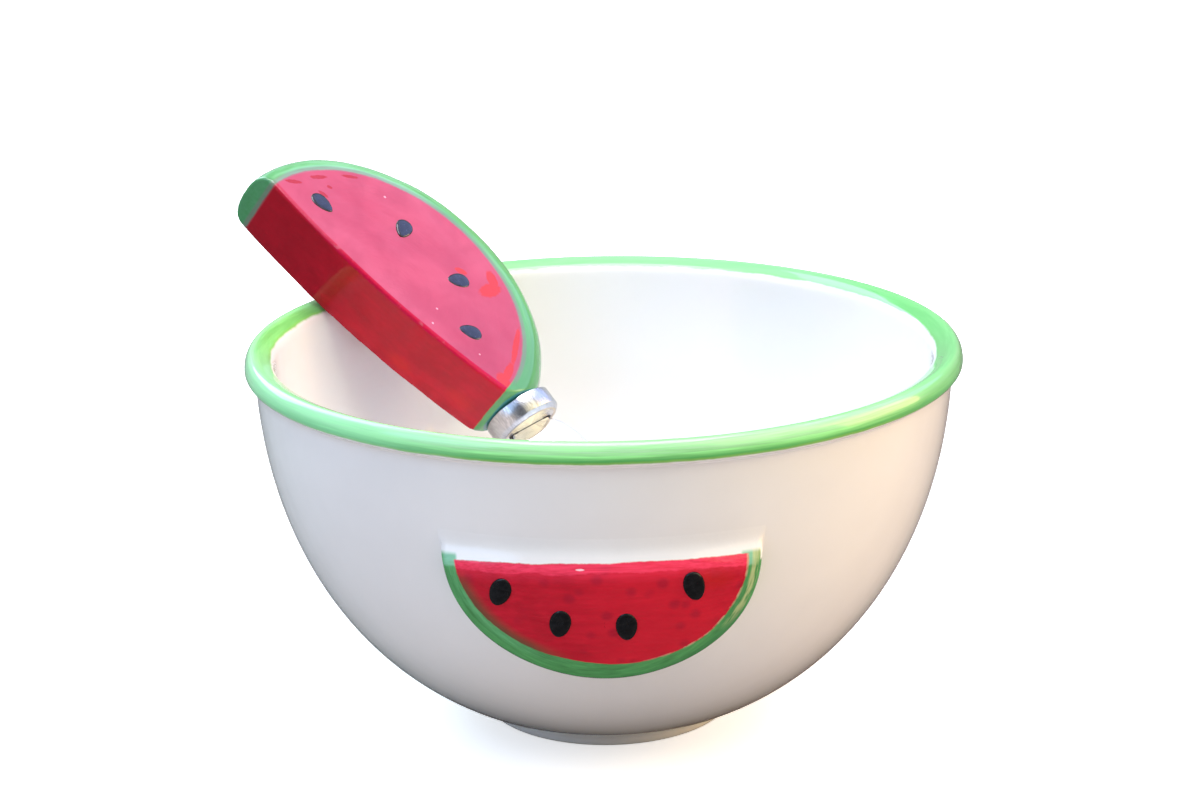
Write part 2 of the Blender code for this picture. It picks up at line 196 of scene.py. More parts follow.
class DIPBOWL_PG_spreader(bpy.types.PropertyGroup):
    """Sizes and pose of the spreader"""

    chord: length("Cut side", 63.4, "Length of the slice's straight side")
    flesh_depth: length("Flesh depth", 29.3, "From the cut side to the rind, at the middle")
    thickness: length("Thickness", 14.5, "Between the slice's two faces")
    rind_near: length("Rind at the neck", 7.0, "Thickness of the rind at the neck end")
    rind_far: length("Rind at the tip", 4.4, "Thickness of the rind at the far end")
    rind_power: amount("Rind roundness", 2.6, "Exponent of the rind's cross section")
    bulge_top: length("Bow at the top", 2.5, "How far the cut side bows out at the top face")
    bulge_bottom: length("Bow underneath", 2.9, "How far the cut side bows out at the lower face")
    corner: bpy.props.FloatVectorProperty(
        name="Near corner",
        description="Where cut side, top face and neck meet, from the bowl's axis and foot",
        default=(-20.05 * MM, 15.8 * MM, 60.65 * MM),
        subtype="TRANSLATION",
        unit="LENGTH",
    )
    roll: angle("Roll", 16.8, "Turn of the handle about its length")
    pitch: angle("Pitch", 40.1, "Slope of the handle out of the bowl")
    heading: angle("Heading", -15.7, "Turn of the handle seen from above")
    neck_along: length("Neck along", 3.6, "Neck's end past the near corner")
    neck_across: length("Neck across", 6.3, "Neck's middle in from the cut side")
    neck_turn: angle("Neck turn", -18.0, "Blade's direction in the plane of the slice")
    neck_radius: length("Neck radius", 7.3, "Radius of the neck's end")
    ferrule_radius: length("Ferrule radius", 7.55, "Outside of the steel ferrule")
    ferrule_length: length("Ferrule length", 4.8, "Along the blade")
    chamfer: length("Ferrule chamfer", 0.8, "Sloped edge round the ferrule's face")
    blade_length: length("Blade length", 60.7, "From the ferrule's face to the tip")
    blade_width: length("Blade width", 20.0, "Widest part of the blade")
    blade_thickness: length("Blade thickness", 1.3, "Between the blade's faces")
    blade_twist: angle("Blade twist", 21.0, "Turn of the blade about its length, from the slice's plane")
    tang_width: length("Tang width", 9.2, "Part of the blade inside the ferrule")


class DIPBOWL_PG_colours(bpy.types.PropertyGroup):
    """Colours of the glazes, paints and metals, and of the painted highlights, sheen and shade on them"""

    glaze: colour("White glaze", (0.86, 0.85, 0.835), "The bowl's own glaze")
    speck: colour("Speck", (0.35, 0.30, 0.26), "Specks in the white glaze")
    bare_clay: colour("Bare clay", (0.60, 0.52, 0.43), "Unglazed flat of the foot ring")
    rim: colour("Rim green", (0.22, 0.62, 0.20), "Paint on the rim bead")
    # Also painted shade: this dark green is laid on the underside of the rim bead.
    rim_thick_and_shade: colour("Rim green, thick", (0.06, 0.36, 0.08), "Where the rim's paint lies thick")
    rim_edge: colour("Rim edge", (0.30, 0.60, 0.12), "Where the rim's paint thins out over the white")
    # Painted shade: the rim's slope to the inside is laid darker.
    rim_inside_shade: colour("Rim, inside", (0.14, 0.47, 0.09), "Rim's slope to the inside")
    # Painted highlight: pale strokes that light the bead's shoulder.
    rim_shoulder_highlight: colour("Rim, shoulder", (0.42, 0.74, 0.42), "Pale strokes on the bead's shoulder")
    # Painted shade: the rim is darker at the back.
    rim_back_shade: colour("Rim, back", (0.23, 0.52, 0.29), "Rim at the back")
    # Painted shade: the rim is darker at the right.
    rim_right_shade: colour("Rim, right", (0.12, 0.47, 0.15), "Rim at the right")
    # Painted highlight: the rim is lighter mint at the front left.
    rim_left_highlight: colour("Rim, front left", (0.32, 0.80, 0.44), "Rim at the front left")
    rind: colour("Rind green", (0.09, 0.35, 0.11), "Paint on the raised slice's rind")
    # Painted highlight: lighter green along the middle of the rind.
    rind_highlight: colour("Rind green, thin", (0.17, 0.50, 0.25), "Where the rind's paint lies thin")
    # Painted shade: this dark green is laid on the rinds' shaded parts.
    rind_shade: colour("Rind green, thick", (0.05, 0.22, 0.08), "Where the rind's paint lies thick")
    rind_fresh: colour("Rind green, fresh", (0.135, 0.40, 0.15), "Lighter strokes on the handle's rind")
    rind_stripe: colour("Rind stripe", (0.50, 0.58, 0.27), "Pale stripe at the raised slice's right")
    cream: colour("Cream gap", (0.62, 0.50, 0.30), "Bare line between the raised flesh and rind")
    flesh: colour("Flesh red", (0.54, 0.008, 0.026), "Paint on the raised slice's face")
    flesh_bright: colour("Flesh red, thin", (0.66, 0.012, 0.034), "Where the red lies thin")
    # Painted light: the red is brighter right of the middle.
    flesh_lit_right: colour("Flesh red, right", (0.74, 0.014, 0.036), "Brighter red right of the middle")
    flesh_dark: colour("Flesh red, thick", (0.38, 0.008, 0.03), "Where the red lies thick")
    muddy_wash: colour("Muddy wash", (0.10, 0.085, 0.04), "Where red and green mix on the raised slice")
    # Painted highlight: light pink strokes on the raised slice's top edge, which faces up.
    ledge_highlight_pink: colour("Ledge pink", (0.93, 0.055, 0.125), "Light strokes along the raised slice's top edge")
    # Painted highlight: a small white glint on the raised slice's top edge.
    glint: colour("Glint", (0.95, 0.72, 0.76), "Bare spot on the raised slice's top edge")
    # Painted highlight: the lightest green on the rinds.
    mint_highlight: colour("Mint", (0.22, 0.53, 0.33), "Lightest green on the rinds")
    # Partly painted reflection: the faces' red is laid pinker to carry the sheen of the glaze.
    pink: colour("Face pink", (0.42, 0.026, 0.068), "Paint on the handle's two faces")
    # Partly painted highlight: the lighter strokes stand in for blotches of sheen.
    pink_light: colour("Face pink, thin", (0.49, 0.070, 0.125), "Lighter strokes on the handle's faces")
    pink_speck: colour("Pale specks", (0.9, 0.45, 0.55), "Specks on the handle's faces")
    dash_red: colour("Dash red", (0.36, 0.0, 0.0), "Thick dashes by the handle's rind")
    patch_red: colour("Patch red", (0.50, 0.014, 0.004), "Warm patches by the handle's rind")
    edge_red: colour("Edge red", (0.42, 0.0, 0.035), "Line along the top of the cut side")
    edge_grey: colour("Edge grey", (0.17, 0.15, 0.15), "Thin wash where the handle's flesh meets its rind")
    cut_red: colour("Cut side red", (0.46, 0.006, 0.020), "Paint on the handle's cut side")
    orange_red: colour("Orange red", (0.56, 0.014, 0.012), "Stray strokes of warmer red")
    seed_black: colour("Seed black", (0.0025, 0.003, 0.004), "Seeds on the bowl")
    seed_navy: colour("Seed navy", (0.006, 0.008, 0.022), "Seeds on the handle")
    teal: colour("Teal band", (0.04, 0.20, 0.20), "Line of paint at the neck's end")
    steel: colour("Ferrule steel", (0.64, 0.65, 0.68), "Ferrule")
    # Painted reflection: a dark line along the ferrule's top, where it would mirror something dark.
    steel_dark_reflection: colour("Steel streak", (0.12, 0.13, 0.18), "Dark line along the ferrule's top")
    blade_steel: colour("Blade steel", (0.80, 0.80, 0.81), "Blade")
    cement: colour("Cement", (0.62, 0.50, 0.36), "Face of the ferrule round the blade")
    soot: colour("Dark cement", (0.012, 0.01, 0.01), "Spots at the ends of the slot")
    soot_worn: colour("Dark cement, worn", (0.07, 0.055, 0.045), "Lighter grains of the spots")


class DIPBOWL_PG_studio(bpy.types.PropertyGroup):
    """Light and floor of the picture"""

    floor: colour("Floor", (0.97, 0.97, 0.97), "Plain floor under the bowl, as the camera sees it")
    shadow_fill: amount("Shadow fill", 0.55, "How far the floor's shadow is lifted for the camera")
    floor_bounce: colour("Floor bounce", (0.42, 0.38, 0.36), "Share of light that the floor sends back up")
    brightness: amount("Brightness", 1.0, "Scale of all the soft lights together")
    sky: amount("Room light", 0.45, "Strength of the even light from all round")
    lens: amount("Lens", 73.91, "Camera lens in millimetres")


GROUPS = (DIPBOWL_PG_bowl, DIPBOWL_PG_spreader, DIPBOWL_PG_colours, DIPBOWL_PG_studio)


# Working in edit mode


def deselect_all():
    if bpy.context.mode != "OBJECT":
        bpy.ops.object.mode_set(mode="OBJECT")
    bpy.ops.object.select_all(action="DESELECT")


def pick(piece):
    deselect_all()
    piece.select_set(True)
    bpy.context.view_layer.objects.active = piece


def edit_new(name):
    """Name the primitive just added and go into edit mode on it."""
    piece = bpy.context.active_object
    piece.name = piece.data.name = name
    bpy.ops.object.mode_set(mode="EDIT")
    return piece


def finish_edit(piece):
    """Weld, turn every face outwards, and leave edit mode with smooth shading."""
    bpy.ops.mesh.select_all(action="SELECT")
    bpy.ops.mesh.remove_doubles(threshold=WELD)
    bpy.ops.mesh.normals_make_consistent(inside=False)
    bpy.ops.object.mode_set(mode="OBJECT")
    bpy.ops.object.shade_smooth()
    return piece


def turned(name, profile, axis, steps):
    """Body of revolution: the profile is drawn by extruding one point after another, then spun."""
    deselect_all()
    bpy.ops.mesh.primitive_plane_add(size=MM, location=profile[0])
    piece = edit_new(name)
    bpy.ops.mesh.merge(type="CENTER")
    for before, after in zip(profile, profile[1:]):
        step = Vector(after) - Vector(before)
        bpy.ops.mesh.extrude_region_move(TRANSFORM_OT_translate={"value": step})
    bpy.ops.mesh.select_all(action="SELECT")
    bpy.ops.mesh.spin(steps=steps, angle=math.tau, center=(0, 0, 0), axis=axis, use_auto_merge=True)
    finish_edit(piece)
    bpy.ops.object.transform_apply(location=True, rotation=True, scale=True)
    return piece


def shape_ring(piece, ring):
    """Move the selected ring to its points; each point keeps its number as the ring is extruded."""
    shape = bmesh.from_edit_mesh(piece.data)
    number = shape.verts.layers.int.get("number")
    if number is None:
        number = shape.verts.layers.int.new("number")
        for index, vertex in enumerate(shape.verts):
            vertex[number] = index
    for vertex in shape.verts:
        if vertex.select:
            vertex.co = ring[vertex[number]]
    bmesh.update_edit_mesh(piece.data)


def raised(name, rings):
    """Body drawn as a filled ring that is extruded and reshaped again and again."""
    deselect_all()
    bpy.ops.mesh.primitive_circle_add(vertices=len(rings[0]), radius=MM, fill_type="NGON")
    piece = edit_new(name)
    shape_ring(piece, rings[0])
    for ring in rings[1:]:
        bpy.ops.mesh.extrude_region_move()
        shape_ring(piece, ring)
    finish_edit(piece)
    piece.data.attributes.remove(piece.data.attributes["number"])
    return piece


def placed(piece, matrix):
    """Put the piece where it belongs, with its place in its mesh."""
    pick(piece)
    piece.matrix_world = matrix
    bpy.ops.object.transform_apply(location=True, rotation=True, scale=True)
    return piece


def copied(piece, name):
    """A copy of the piece with its own mesh."""
    pick(piece)
    bpy.ops.object.duplicate(linked=False)
    twin = bpy.context.active_object
    twin.name = twin.data.name = name
    return twin


def modified(piece, kind, **settings):
    """Add a modifier and apply it."""
    pick(piece)
    modifier = piece.modifiers.new(kind.title(), kind)
    for setting, value in settings.items():
        setattr(modifier, setting, value)
    bpy.ops.object.modifier_apply(modifier=modifier.name)
    return piece


def combined(piece, tool, operation):
    """Join or cut the piece with a tool shape, which is then thrown away."""
    modified(piece, "BOOLEAN", operation=operation, object=tool, solver="EXACT")
    bpy.data.objects.remove(tool)
    return piece


def finished(piece, material, node):
    """Give the piece its one material, hang it under the root body and hide the part that it stands in for.
    """
    piece.data.materials.clear()
    piece.data.materials.append(material)
    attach(piece, "root")
    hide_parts(node)
    return piece


# Curves that the pieces are drawn from


def bezier(start, first, second, end, steps):
    """Points of a cubic curve, its start left out."""
    points = []
    for step in range(1, steps + 1):
        t = step / steps
        weights = ((1 - t) ** 3, 3 * t * (1 - t) ** 2, 3 * t * t * (1 - t), t**3)
        corners = (start, first, second, end)
        pairs = list(zip(weights, corners))
        points.append(tuple(sum(weight * corner[axis] for weight, corner in pairs) for axis in range(2)))
    return points


def eased(start, leaving, end, arriving, steps):
    """Cubic curve between two points, with its two handles as offsets from them in mm."""
    first = (start[0] + leaving[0] * MM, start[1] + leaving[1] * MM)
    second = (end[0] + arriving[0] * MM, end[1] + arriving[1] * MM)
    return bezier(start, first, second, end, steps)


def wall_radius(sizes, height):
    fall = (sizes.rim_height - height) / sizes.wall_drop
    return sizes.wall_radius * (1 - fall**sizes.wall_power) ** (1 / sizes.wall_power)


def wall_curve(top, radius, drop, power, heights, steps):
    """(radius, height) pairs up a wall whose section is a superellipse hung from the top."""
    start, end = (math.acos(((top - height) / drop) ** (power / 2)) for height in heights)
    points = []
    for step in range(steps + 1):
        turn = start + (end - start) * step / steps
        points.append((radius * math.sin(turn) ** (2 / power), top - drop * math.cos(turn) ** (2 / power)))
    return points


def rim_curve(sizes, outside, inside):
    """Rim bead from the outside wall over the crest to the inside wall."""
    widest = (sizes.bead_radius, sizes.rim_height - sizes.bead_widest)
    crest = (sizes.crest_radius, sizes.rim_height)
    edge = (sizes.lip_radius, sizes.rim_height - sizes.lip_drop)
    under = eased(outside, (0.1, 0.9), widest, (0.0, -1.2), 12)
    over = eased(widest, (0.0, 1.6), crest, (1.0, 0.0), 12)
    top = eased(crest, (-1.1, 0.0), edge, (0.9, 0.5), 9)
    return under + over + top + eased(edge, (-0.6, -0.4), inside, (0.0, 1.3), 9)


def foot_curve(sizes, wall_foot):
    """Underside from the axis out over the foot ring and up to the wall, with soft glazed corners."""
    soft = 0.7 * MM
    inner = sizes.foot_radius - sizes.foot_width
    recess = (inner - 1.2 * MM, sizes.recess_depth)
    flat_end = (sizes.foot_radius - soft, 0.0)
    outer = (sizes.foot_radius, soft)
    points = [(0.0, sizes.recess_depth), (inner * 0.5, sizes.recess_depth), recess]
    points += eased(recess, (0.9, 0.0), (inner + soft, 0.0), (-0.7, 0.2), 6)
    points += [flat_end] + eased(flat_end, (0.5, 0.0), outer, (0.0, -0.5), 5)
    return points + eased(outer, (0.0, 0.8), wall_foot, (-0.5, -0.3), 5)


def on_wall(sizes, across, height, lift):
    """Point lifted straight off the outside wall, and the direction outwards there."""
    radius = wall_radius(sizes, height)
    slope = (wall_radius(sizes, height + 0.1 * MM) - wall_radius(sizes, height - 0.1 * MM)) / (0.2 * MM)
    base = Vector((across, -math.sqrt(radius**2 - across**2), height))
    outwards = Vector((base.x / radius, base.y / radius, -slope)).normalized()
    point = base + outwards * lift
    point.x += BOWL_X
    return point, outwards


def slice_outline(sizes, side, down, share=1.0):
    """Half-moon outline as (across, height), moved in from its sides and top and shrunk to its middle."""
    half_width = sizes.slice_half_width - side
    top = sizes.slice_top - down
    depth = top - sizes.slice_bottom - side
    middle = top - depth * 0.42
    arc_steps, edge_steps = 120, 60
    turns = [math.pi * step / arc_steps for step in range(arc_steps + 1)]
    places = [(-half_width * math.cos(turn), top - depth * math.sin(turn)) for turn in turns]
    places += [(half_width * (1 - 2 * step / edge_steps), top) for step in range(1, edge_steps)]
    outline = []
    for across, height in places:
        height = middle + (height - middle) * share
        ease = min(1.0, max(0.0, 0.5 - across / (24 * MM)))
        lean = sizes.slice_lean * (sizes.slice_top - height) * ease * ease * (3 - 2 * ease)
        outline.append((sizes.slice_middle + across * share + lean, height))
    return outline


def handle_outline(sizes, level):
    """Outline of the handle's slice at a level from -1, its underside, to 1, its top face."""
    roundness = (1 - abs(level) ** sizes.rind_power) ** (1 / sizes.rind_power)
    bulge = sizes.bulge_bottom + (sizes.bulge_top - sizes.bulge_bottom) * (level + 1) / 2
    corner = max(0.0, (abs(level) - 0.93) / 0.07)
    edge = 0.5 * MM * (1 - math.sqrt(1 - corner**2))
    half = sizes.chord / 2
    height = (level - 1) * sizes.thickness / 2
    arc_steps, cut_steps = 160, 60
    outline = []
    for step in range(arc_steps + 1):
        turn = math.pi * step / arc_steps
        out = roundness * (sizes.rind_near + (sizes.rind_far - sizes.rind_near) * (turn / math.pi) ** 2)
        x = -half + (half + out - edge) * math.cos(turn)
        y = (sizes.flesh_depth + out) * math.sin(turn)
        outline.append(Vector((x, max(y, edge), height)))
    first, last = outline[0], outline[-1]
    for step in range(1, cut_steps):
        share = step / cut_steps
        x = last.x * (1 - share) + first.x * share
        outline.append(Vector((x, edge - bulge * 4 * share * (1 - share), height)))
    return outline


def handle_frame(sizes):
    """From the handle's own frame, X to the neck, Y into the slice and Z out of its top face."""
    turn = Euler((sizes.roll, sizes.pitch, sizes.heading)).to_matrix().to_4x4()
    return BOWL_FRAME @ Matrix.Translation(sizes.corner) @ turn


def shaft_frame(sizes):
    """From the spreader's axis, X along the blade from the neck's end."""
    neck = Matrix.Translation((sizes.neck_along, sizes.neck_across, -sizes.thickness / 2))
    return handle_frame(sizes) @ neck @ Matrix.Rotation(sizes.neck_turn, 4, "Z")


def blade_frame(sizes):
    return shaft_frame(sizes) @ Matrix.Rotation(sizes.blade_twist, 4, "X")


# Shader nodes


class Wire:
    """Output of a shader node; signs such as + and * on it add math nodes to its tree."""

    def __init__(self, tree, socket):
        self.tree = tree
        self.socket = socket

    def math(self, operation, *values):
        return wire(self.tree, "Math", dict(enumerate(values)), operation=operation)

    def __add__(self, other):
        return self.math("ADD", self, other)

    def __sub__(self, other):
        return self.math("SUBTRACT", self, other)

    def __rsub__(self, other):
        return self.math("SUBTRACT", other, self)

    def __mul__(self, other):
        return self.math("MULTIPLY", self, other)

    def __truediv__(self, other):
        return self.math("DIVIDE", self, other)

    def __rtruediv__(self, other):
        return self.math("DIVIDE", other, self)

    def __pow__(self, other):
        return self.math("POWER", self, other)

    def __abs__(self):
        return self.math("ABSOLUTE", self)


def feed(value, socket):
    """Link a wire to an input socket, or give the socket a plain value."""
    if isinstance(value, Wire):
        value.tree.links.new(value.socket, socket)
    elif socket.type == "RGBA":
        socket.default_value = (*value, 1.0)
    else:
        socket.default_value = value


def node(tree, kind, inputs, **settings):
    """Add a shader node, with its sockets fed by name or number."""
    made = tree.nodes.new("ShaderNode" + kind)
    for setting, value in settings.items():
        setattr(made, setting, value)
    for key, value in inputs.items():
        feed(value, made.inputs[key])
    return made


def wire(tree, kind, inputs, output=0, **settings):
    """Add a shader node and return one of its outputs."""
    return Wire(tree, node(tree, kind, inputs, **settings).outputs[output])


def least(first, second):
    return first.math("MINIMUM", first, second)


def most(first, second):
    return first.math("MAXIMUM", first, second)


def turn_of(up, right):
    """Angle of a direction, from its two parts."""
    return up.math("ARCTAN2", up, right)


def vector_math(operation, first, *others):
    output = "Value" if operation == "LENGTH" else "Vector"
    return wire(first.tree, "VectorMath", dict(enumerate((first, *others))), output, operation=operation)


def point(x, y, z=0.0):
    return wire(x.tree, "CombineXYZ", {0: x, 1: y, 2: z})


def split(vector):
    return [Wire(vector.tree, socket) for socket in node(vector.tree, "SeparateXYZ", {0: vector}).outputs]


def stretch(vector, scale, turn=(0, 0, 0)):
    return wire(vector.tree, "Mapping", {"Vector": vector, "Scale": scale, "Rotation": turn})


def ramp(value, low, high, bottom=0.0, top=1.0):
    """Smooth step of a value from low to high."""
    steps = {"Value": value, "From Min": low, "From Max": high, "To Min": bottom, "To Max": top}
    return wire(value.tree, "MapRange", steps, interpolation_type="SMOOTHSTEP")


def spread(value, low, high):
    """A value from 0 to 1 laid out evenly from low to high."""
    return wire(value.tree, "MapRange", {"Value": value, "To Min": low, "To Max": high})


def noise(vector, scale, detail=2.0, roughness=0.5, distortion=0.0):
    sockets = {"Vector": vector, "Scale": scale, "Detail": detail, "Roughness": roughness}
    return wire(vector.tree, "TexNoise", {**sockets, "Distortion": distortion}, "Fac")


def cells(vector, scale):
    """Distance to the nearest of a scatter of points."""
    return wire(vector.tree, "TexVoronoi", {"Vector": vector, "Scale": scale}, "Distance")


def blend(mask, under, over):
    """Colour over another where the mask is 1; the numbers are the mix node's colour sockets."""
    return wire(mask.tree, "Mix", {0: mask, 6: under, 7: over}, 2, data_type="RGBA")


def layered(base, *layers):
    """Colour with others laid over it in turn, each through its mask."""
    for mask, shade in layers:
        base = blend(mask, base, shade)
    return base


def dimmed(value, share):
    """A colour with each of its parts scaled."""
    return tuple(min(1.0, part * share) for part in value)


def in_millimetres(material, matrix):
    """Object coordinates in millimetres, in that frame."""
    tree = material.node_tree
    place = wire(tree, "TexCoord", {}, "Object")
    frame_sockets = {"Location": matrix.translation, "Rotation": matrix.to_euler(), "Scale": (MM,) * 3}
    return wire(tree, "Mapping", {"Vector": place, **frame_sockets}, vector_type="TEXTURE")


def arrange(tree):
    """Lay the nodes out in columns, each left of the nodes that it feeds."""
    depth = {item: 0 for item in tree.nodes}
    for _ in range(len(tree.nodes)):
        moved = False
        for link in tree.links:
            if depth[link.from_node] <= depth[link.to_node]:
                depth[link.from_node] = depth[link.to_node] + 1
                moved = True
        if not moved:
            break
    rows = {}
    for item in tree.nodes:
        row = rows.get(depth[item], 0)
        item.location = (-220 * depth[item], -190 * row)
        rows[depth[item]] = row + 1


# Shared node groups

ORIGIN = (0.0, 0.0, 0.0)


def shared_group(name, output, **defaults):
    """Make a node group of a function: built at its first call, and placed at each call."""

    def new_tree(build):
        tree = bpy.data.node_groups.new(name, "ShaderNodeTree")
        for label, default in defaults.items():
            kind = "NodeSocketVector" if isinstance(default, tuple) else "NodeSocketFloat"
            socket = tree.interface.new_socket(name=label, in_out="INPUT", socket_type=kind)
            socket.default_value = default
        tree.interface.new_socket(name=output, in_out="OUTPUT", socket_type="NodeSocketFloat")
        start = tree.nodes.new("NodeGroupInput").outputs
        result = build(*(Wire(tree, start[label]) for label in defaults))
        feed(result, tree.nodes.new("NodeGroupOutput").inputs[output])
        arrange(tree)
        return tree

    def wrap(build):
        def place(vector, *values, **named):
            made = vector.tree.nodes.new("ShaderNodeGroup")
            made.node_tree = bpy.data.node_groups.get(name) or new_tree(build)
            inputs = dict(zip(defaults, (vector, *values)))
            inputs.update({label.title(): value for label, value in named.items()})
            for label, value in inputs.items():
                feed(value, made.inputs[label])
            return Wire(vector.tree, made.outputs[output])

        return place

    return wrap


@shared_group("Brush strokes", "Mask", Vector=ORIGIN, Along=0.06, Across=0.9, Contrast=2.0)
def brush_strokes(vector, along, across, contrast):
    """Streaks along X of the vector, broken up as a loaded brush leaves them."""
    streaks = vector_math("MULTIPLY", vector, point(along, across, across))
    both = noise(streaks, 1.0, 2.0, 0.5, 0.4) * 0.62 + noise(streaks, 3.1, 1.0, 0.5, 0.2) * 0.38
    return wire(vector.tree, "Clamp", {"Value": (both - 0.5) * contrast + 0.5})


@shared_group("Painted edge", "Mask", Vector=ORIGIN, Distance=0.0, Wobble=0.3, Softness=0.15)
def painted_edge(vector, distance, wobble, softness):
    """Mask that is 1 where the distance is over 0, with an edge as uneven as a hand-painted one."""
    waver = noise(vector, 0.16) + noise(vector, 1.1, 3.0) * 0.5
    return ramp(distance + (waver - 0.75) * wobble * 2.0, softness * -1.0, softness)


@shared_group("Dab", "Mask", Vector=ORIGIN, Centre=ORIGIN, Size=ORIGIN, Turn=0.0, Softness=0.3, Roughness=0.6)
def dab(vector, centre, size, turn, softness, roughness):
    """One dab of a brush: an uneven oval about a centre, in the X and Y of the vector."""
    offset = vector_math("MULTIPLY", vector_math("SUBTRACT", vector, centre), (1, 1, 0))
    offset = wire(vector.tree, "VectorRotate", {"Vector": offset, "Angle": turn}, rotation_type="Z_AXIS")
    reach = vector_math("LENGTH", vector_math("DIVIDE", offset, size))
    uneven = (noise(vector, 1.3, 3.0) - 0.5) * roughness
    return ramp(reach + uneven, 1.0 - softness, 1.0, 1.0, 0.0)


@shared_group("Glaze skin", "Height", Vector=ORIGIN, Ripple=1.0, Peel=0.2, Pinholes=0.3)
def glaze_skin(vector, ripple, peel, pinholes):
    """Height of a fired glaze: slow ripples, a fine orange peel and a few pinholes."""
    waves = noise(vector, 0.11, 2.0, 0.4) * ripple + noise(vector, 0.9) * peel
    return waves + ramp(cells(vector, 0.16), 0.03, 0.05) * pinholes


@shared_group("Smudges", "Mask", Vector=ORIGIN, Size=30.0)
def smudges(vector, size):
    """Slow uneven tone, from 0 to 1, of a glaze poured by hand."""
    return ramp(noise(vector_math("MULTIPLY", vector, 1.0 / size), 1.0, 3.0, 0.55, 0.3), 0.38, 0.68)


def dabs(vector, marks, roughness=0.6):
    """Mask of several dabs; each is a centre, a half size and a turn in the vector's X and Y."""
    masks = []
    for (u, v), (wide, tall), turn in marks:
        masks.append(dab(vector, (u, v, 0), (wide, tall, 1), -turn, roughness=roughness))
    return reduce(most, masks)


# Materials


def new_material(name):
    material = bpy.data.materials.new(name)
    material.use_nodes = True
    material.node_tree.nodes.clear()
    return material


def close_material(material, colour, roughness, height, depth, **inputs):
    """Shader from its colour, roughness and relief, with its other inputs by name."""
    tree = material.node_tree
    bump = wire(tree, "Bump", {"Height": height, "Distance": depth, "Strength": 1.0})
    sockets = {"Base Color": colour, "Roughness": roughness, "Normal": bump}
    sockets.update({label.replace("_", " "): value for label, value in inputs.items()})
    node(tree, "OutputMaterial", {"Surface": wire(tree, "BsdfPrincipled", sockets)})
    arrange(tree)
    return material


def glazed(material, colour, roughness, height, coat=0.8, depth=0.16 * MM):
    """Paint under a clear glossy glaze."""
    gloss = {"Coat_Weight": coat, "Coat_Roughness": 0.03, "Coat_IOR": 1.5, "Specular_IOR_Level": 0.1}
    return close_material(material, colour, roughness, height, depth, **gloss)


def white_glaze(place, colours):
    return blend(smudges(place, 34.0), colours.glaze, dimmed(colours.glaze, 0.965))


def wall_lift(sizes, radius, height):
    """How far out from the bowl's outside wall, in mm; the inside of the wall is below -3."""
    fallen = most((sizes.rim_height / MM - height) / (sizes.wall_drop / MM), 0.0)
    return radius - (1.0 - fallen**sizes.wall_power) ** (1 / sizes.wall_power) * (sizes.wall_radius / MM)


def bowl_material(sizes, colours):
    """White glaze, green rim brushed round the bead, and the bare flat of the foot. On the rim, painted shade
    lies under the bead, on its inward slope and at the back and right, and painted highlights lie on its
    shoulder and at the front left.
    """
    material = new_material("White glaze and green rim")
    place = in_millimetres(material, BOWL_FRAME)
    height = split(place)[2]
    level = vector_math("MULTIPLY", place, (1, 1, 0))
    radius = vector_math("LENGTH", level)
    side, back, _ = split(vector_math("NORMALIZE", level))
    rounds = point(side, back, radius - height)

    def streaks(across, along):
        """Unevenness that runs round the axis, without a seam."""
        return noise(vector_math("MULTIPLY", rounds, (along, along, across)), 1.0, 3.0, 0.6)

    inwards = least(height - 72.35, radius - 64.85) + (streaks(0.05, 7.0) - 0.5) * 0.7
    painted = painted_edge(place, inwards, 0.12, 0.24)
    fine = ramp(streaks(3.4, 8.0), 0.35, 0.7)
    # Painted shade: mask of the bead's underside, which is laid over with the dark rim green.
    thick = ramp(height, 73.9, 72.9) * ramp(radius, 67.2, 68.4)
    # Painted highlight: mask of the bead's upper outer shoulder, laid over with pale green strokes.
    shoulder = ramp(radius, 68.0, 69.0) * ramp(height, 73.6, 74.6)
    bright = tuple(part * 1.45 + 0.03 for part in colours.rim)
    green = layered(
        blend(ramp(streaks(0.9, 3.0), 0.36, 0.64), colours.rim, bright),
        (thick * 0.8, colours.rim_thick_and_shade),
        (fine * 0.22, colours.rim_thick_and_shade),
        (ramp(inwards, 0.75, 0.1) * 0.75, colours.rim_edge),
        # Painted shade: darker green on the rim's inward slope.
        (ramp(radius, 68.2, 66.6) * 0.55, colours.rim_inside_shade),
        # Painted highlight on the bead's shoulder.
        (shoulder * (fine * 0.5 + 0.35), colours.rim_shoulder_highlight),
        # Painted shade: the rim is laid darker at the back and at the right.
        (ramp(back, 0.3, 0.8, 0.0, 0.6), colours.rim_back_shade),
        (ramp(side, 0.6, 0.95, 0.0, 0.7), colours.rim_right_shade),
        # Painted highlight: lighter mint on the rim at the front left.
        (ramp(side, -0.2, -0.7) * ramp(back, 0.1, -0.4, 0.0, 0.6), colours.rim_left_highlight),
    )

    smudge = smudges(place, 34.0)
    foot = ramp(height, 0.32, 0.18) * ramp(radius, 21.9, 22.2)
    clay = blend(noise(place, 2.6, 5.0, 0.7), colours.bare_clay, dimmed(colours.bare_clay, 0.8))
    surface = layered(
        white_glaze(place, colours),
        # Painted shade: the inside of the wall is laid a shade darker.
        (ramp(wall_lift(sizes, radius, height), -1.2, -2.2), dimmed(colours.glaze, 0.99)),
        (ramp(cells(place, 0.055), 0.012, 0.018, 0.45, 0.0), colours.speck),
        (painted, green),
        (foot, clay),
    )
    roughness = most(spread(painted + smudge * 0.4, 0.07, 0.16), foot * 0.85)
    return glazed(material, surface, roughness, glaze_skin(place, 0.55, 0.008, 0.01))


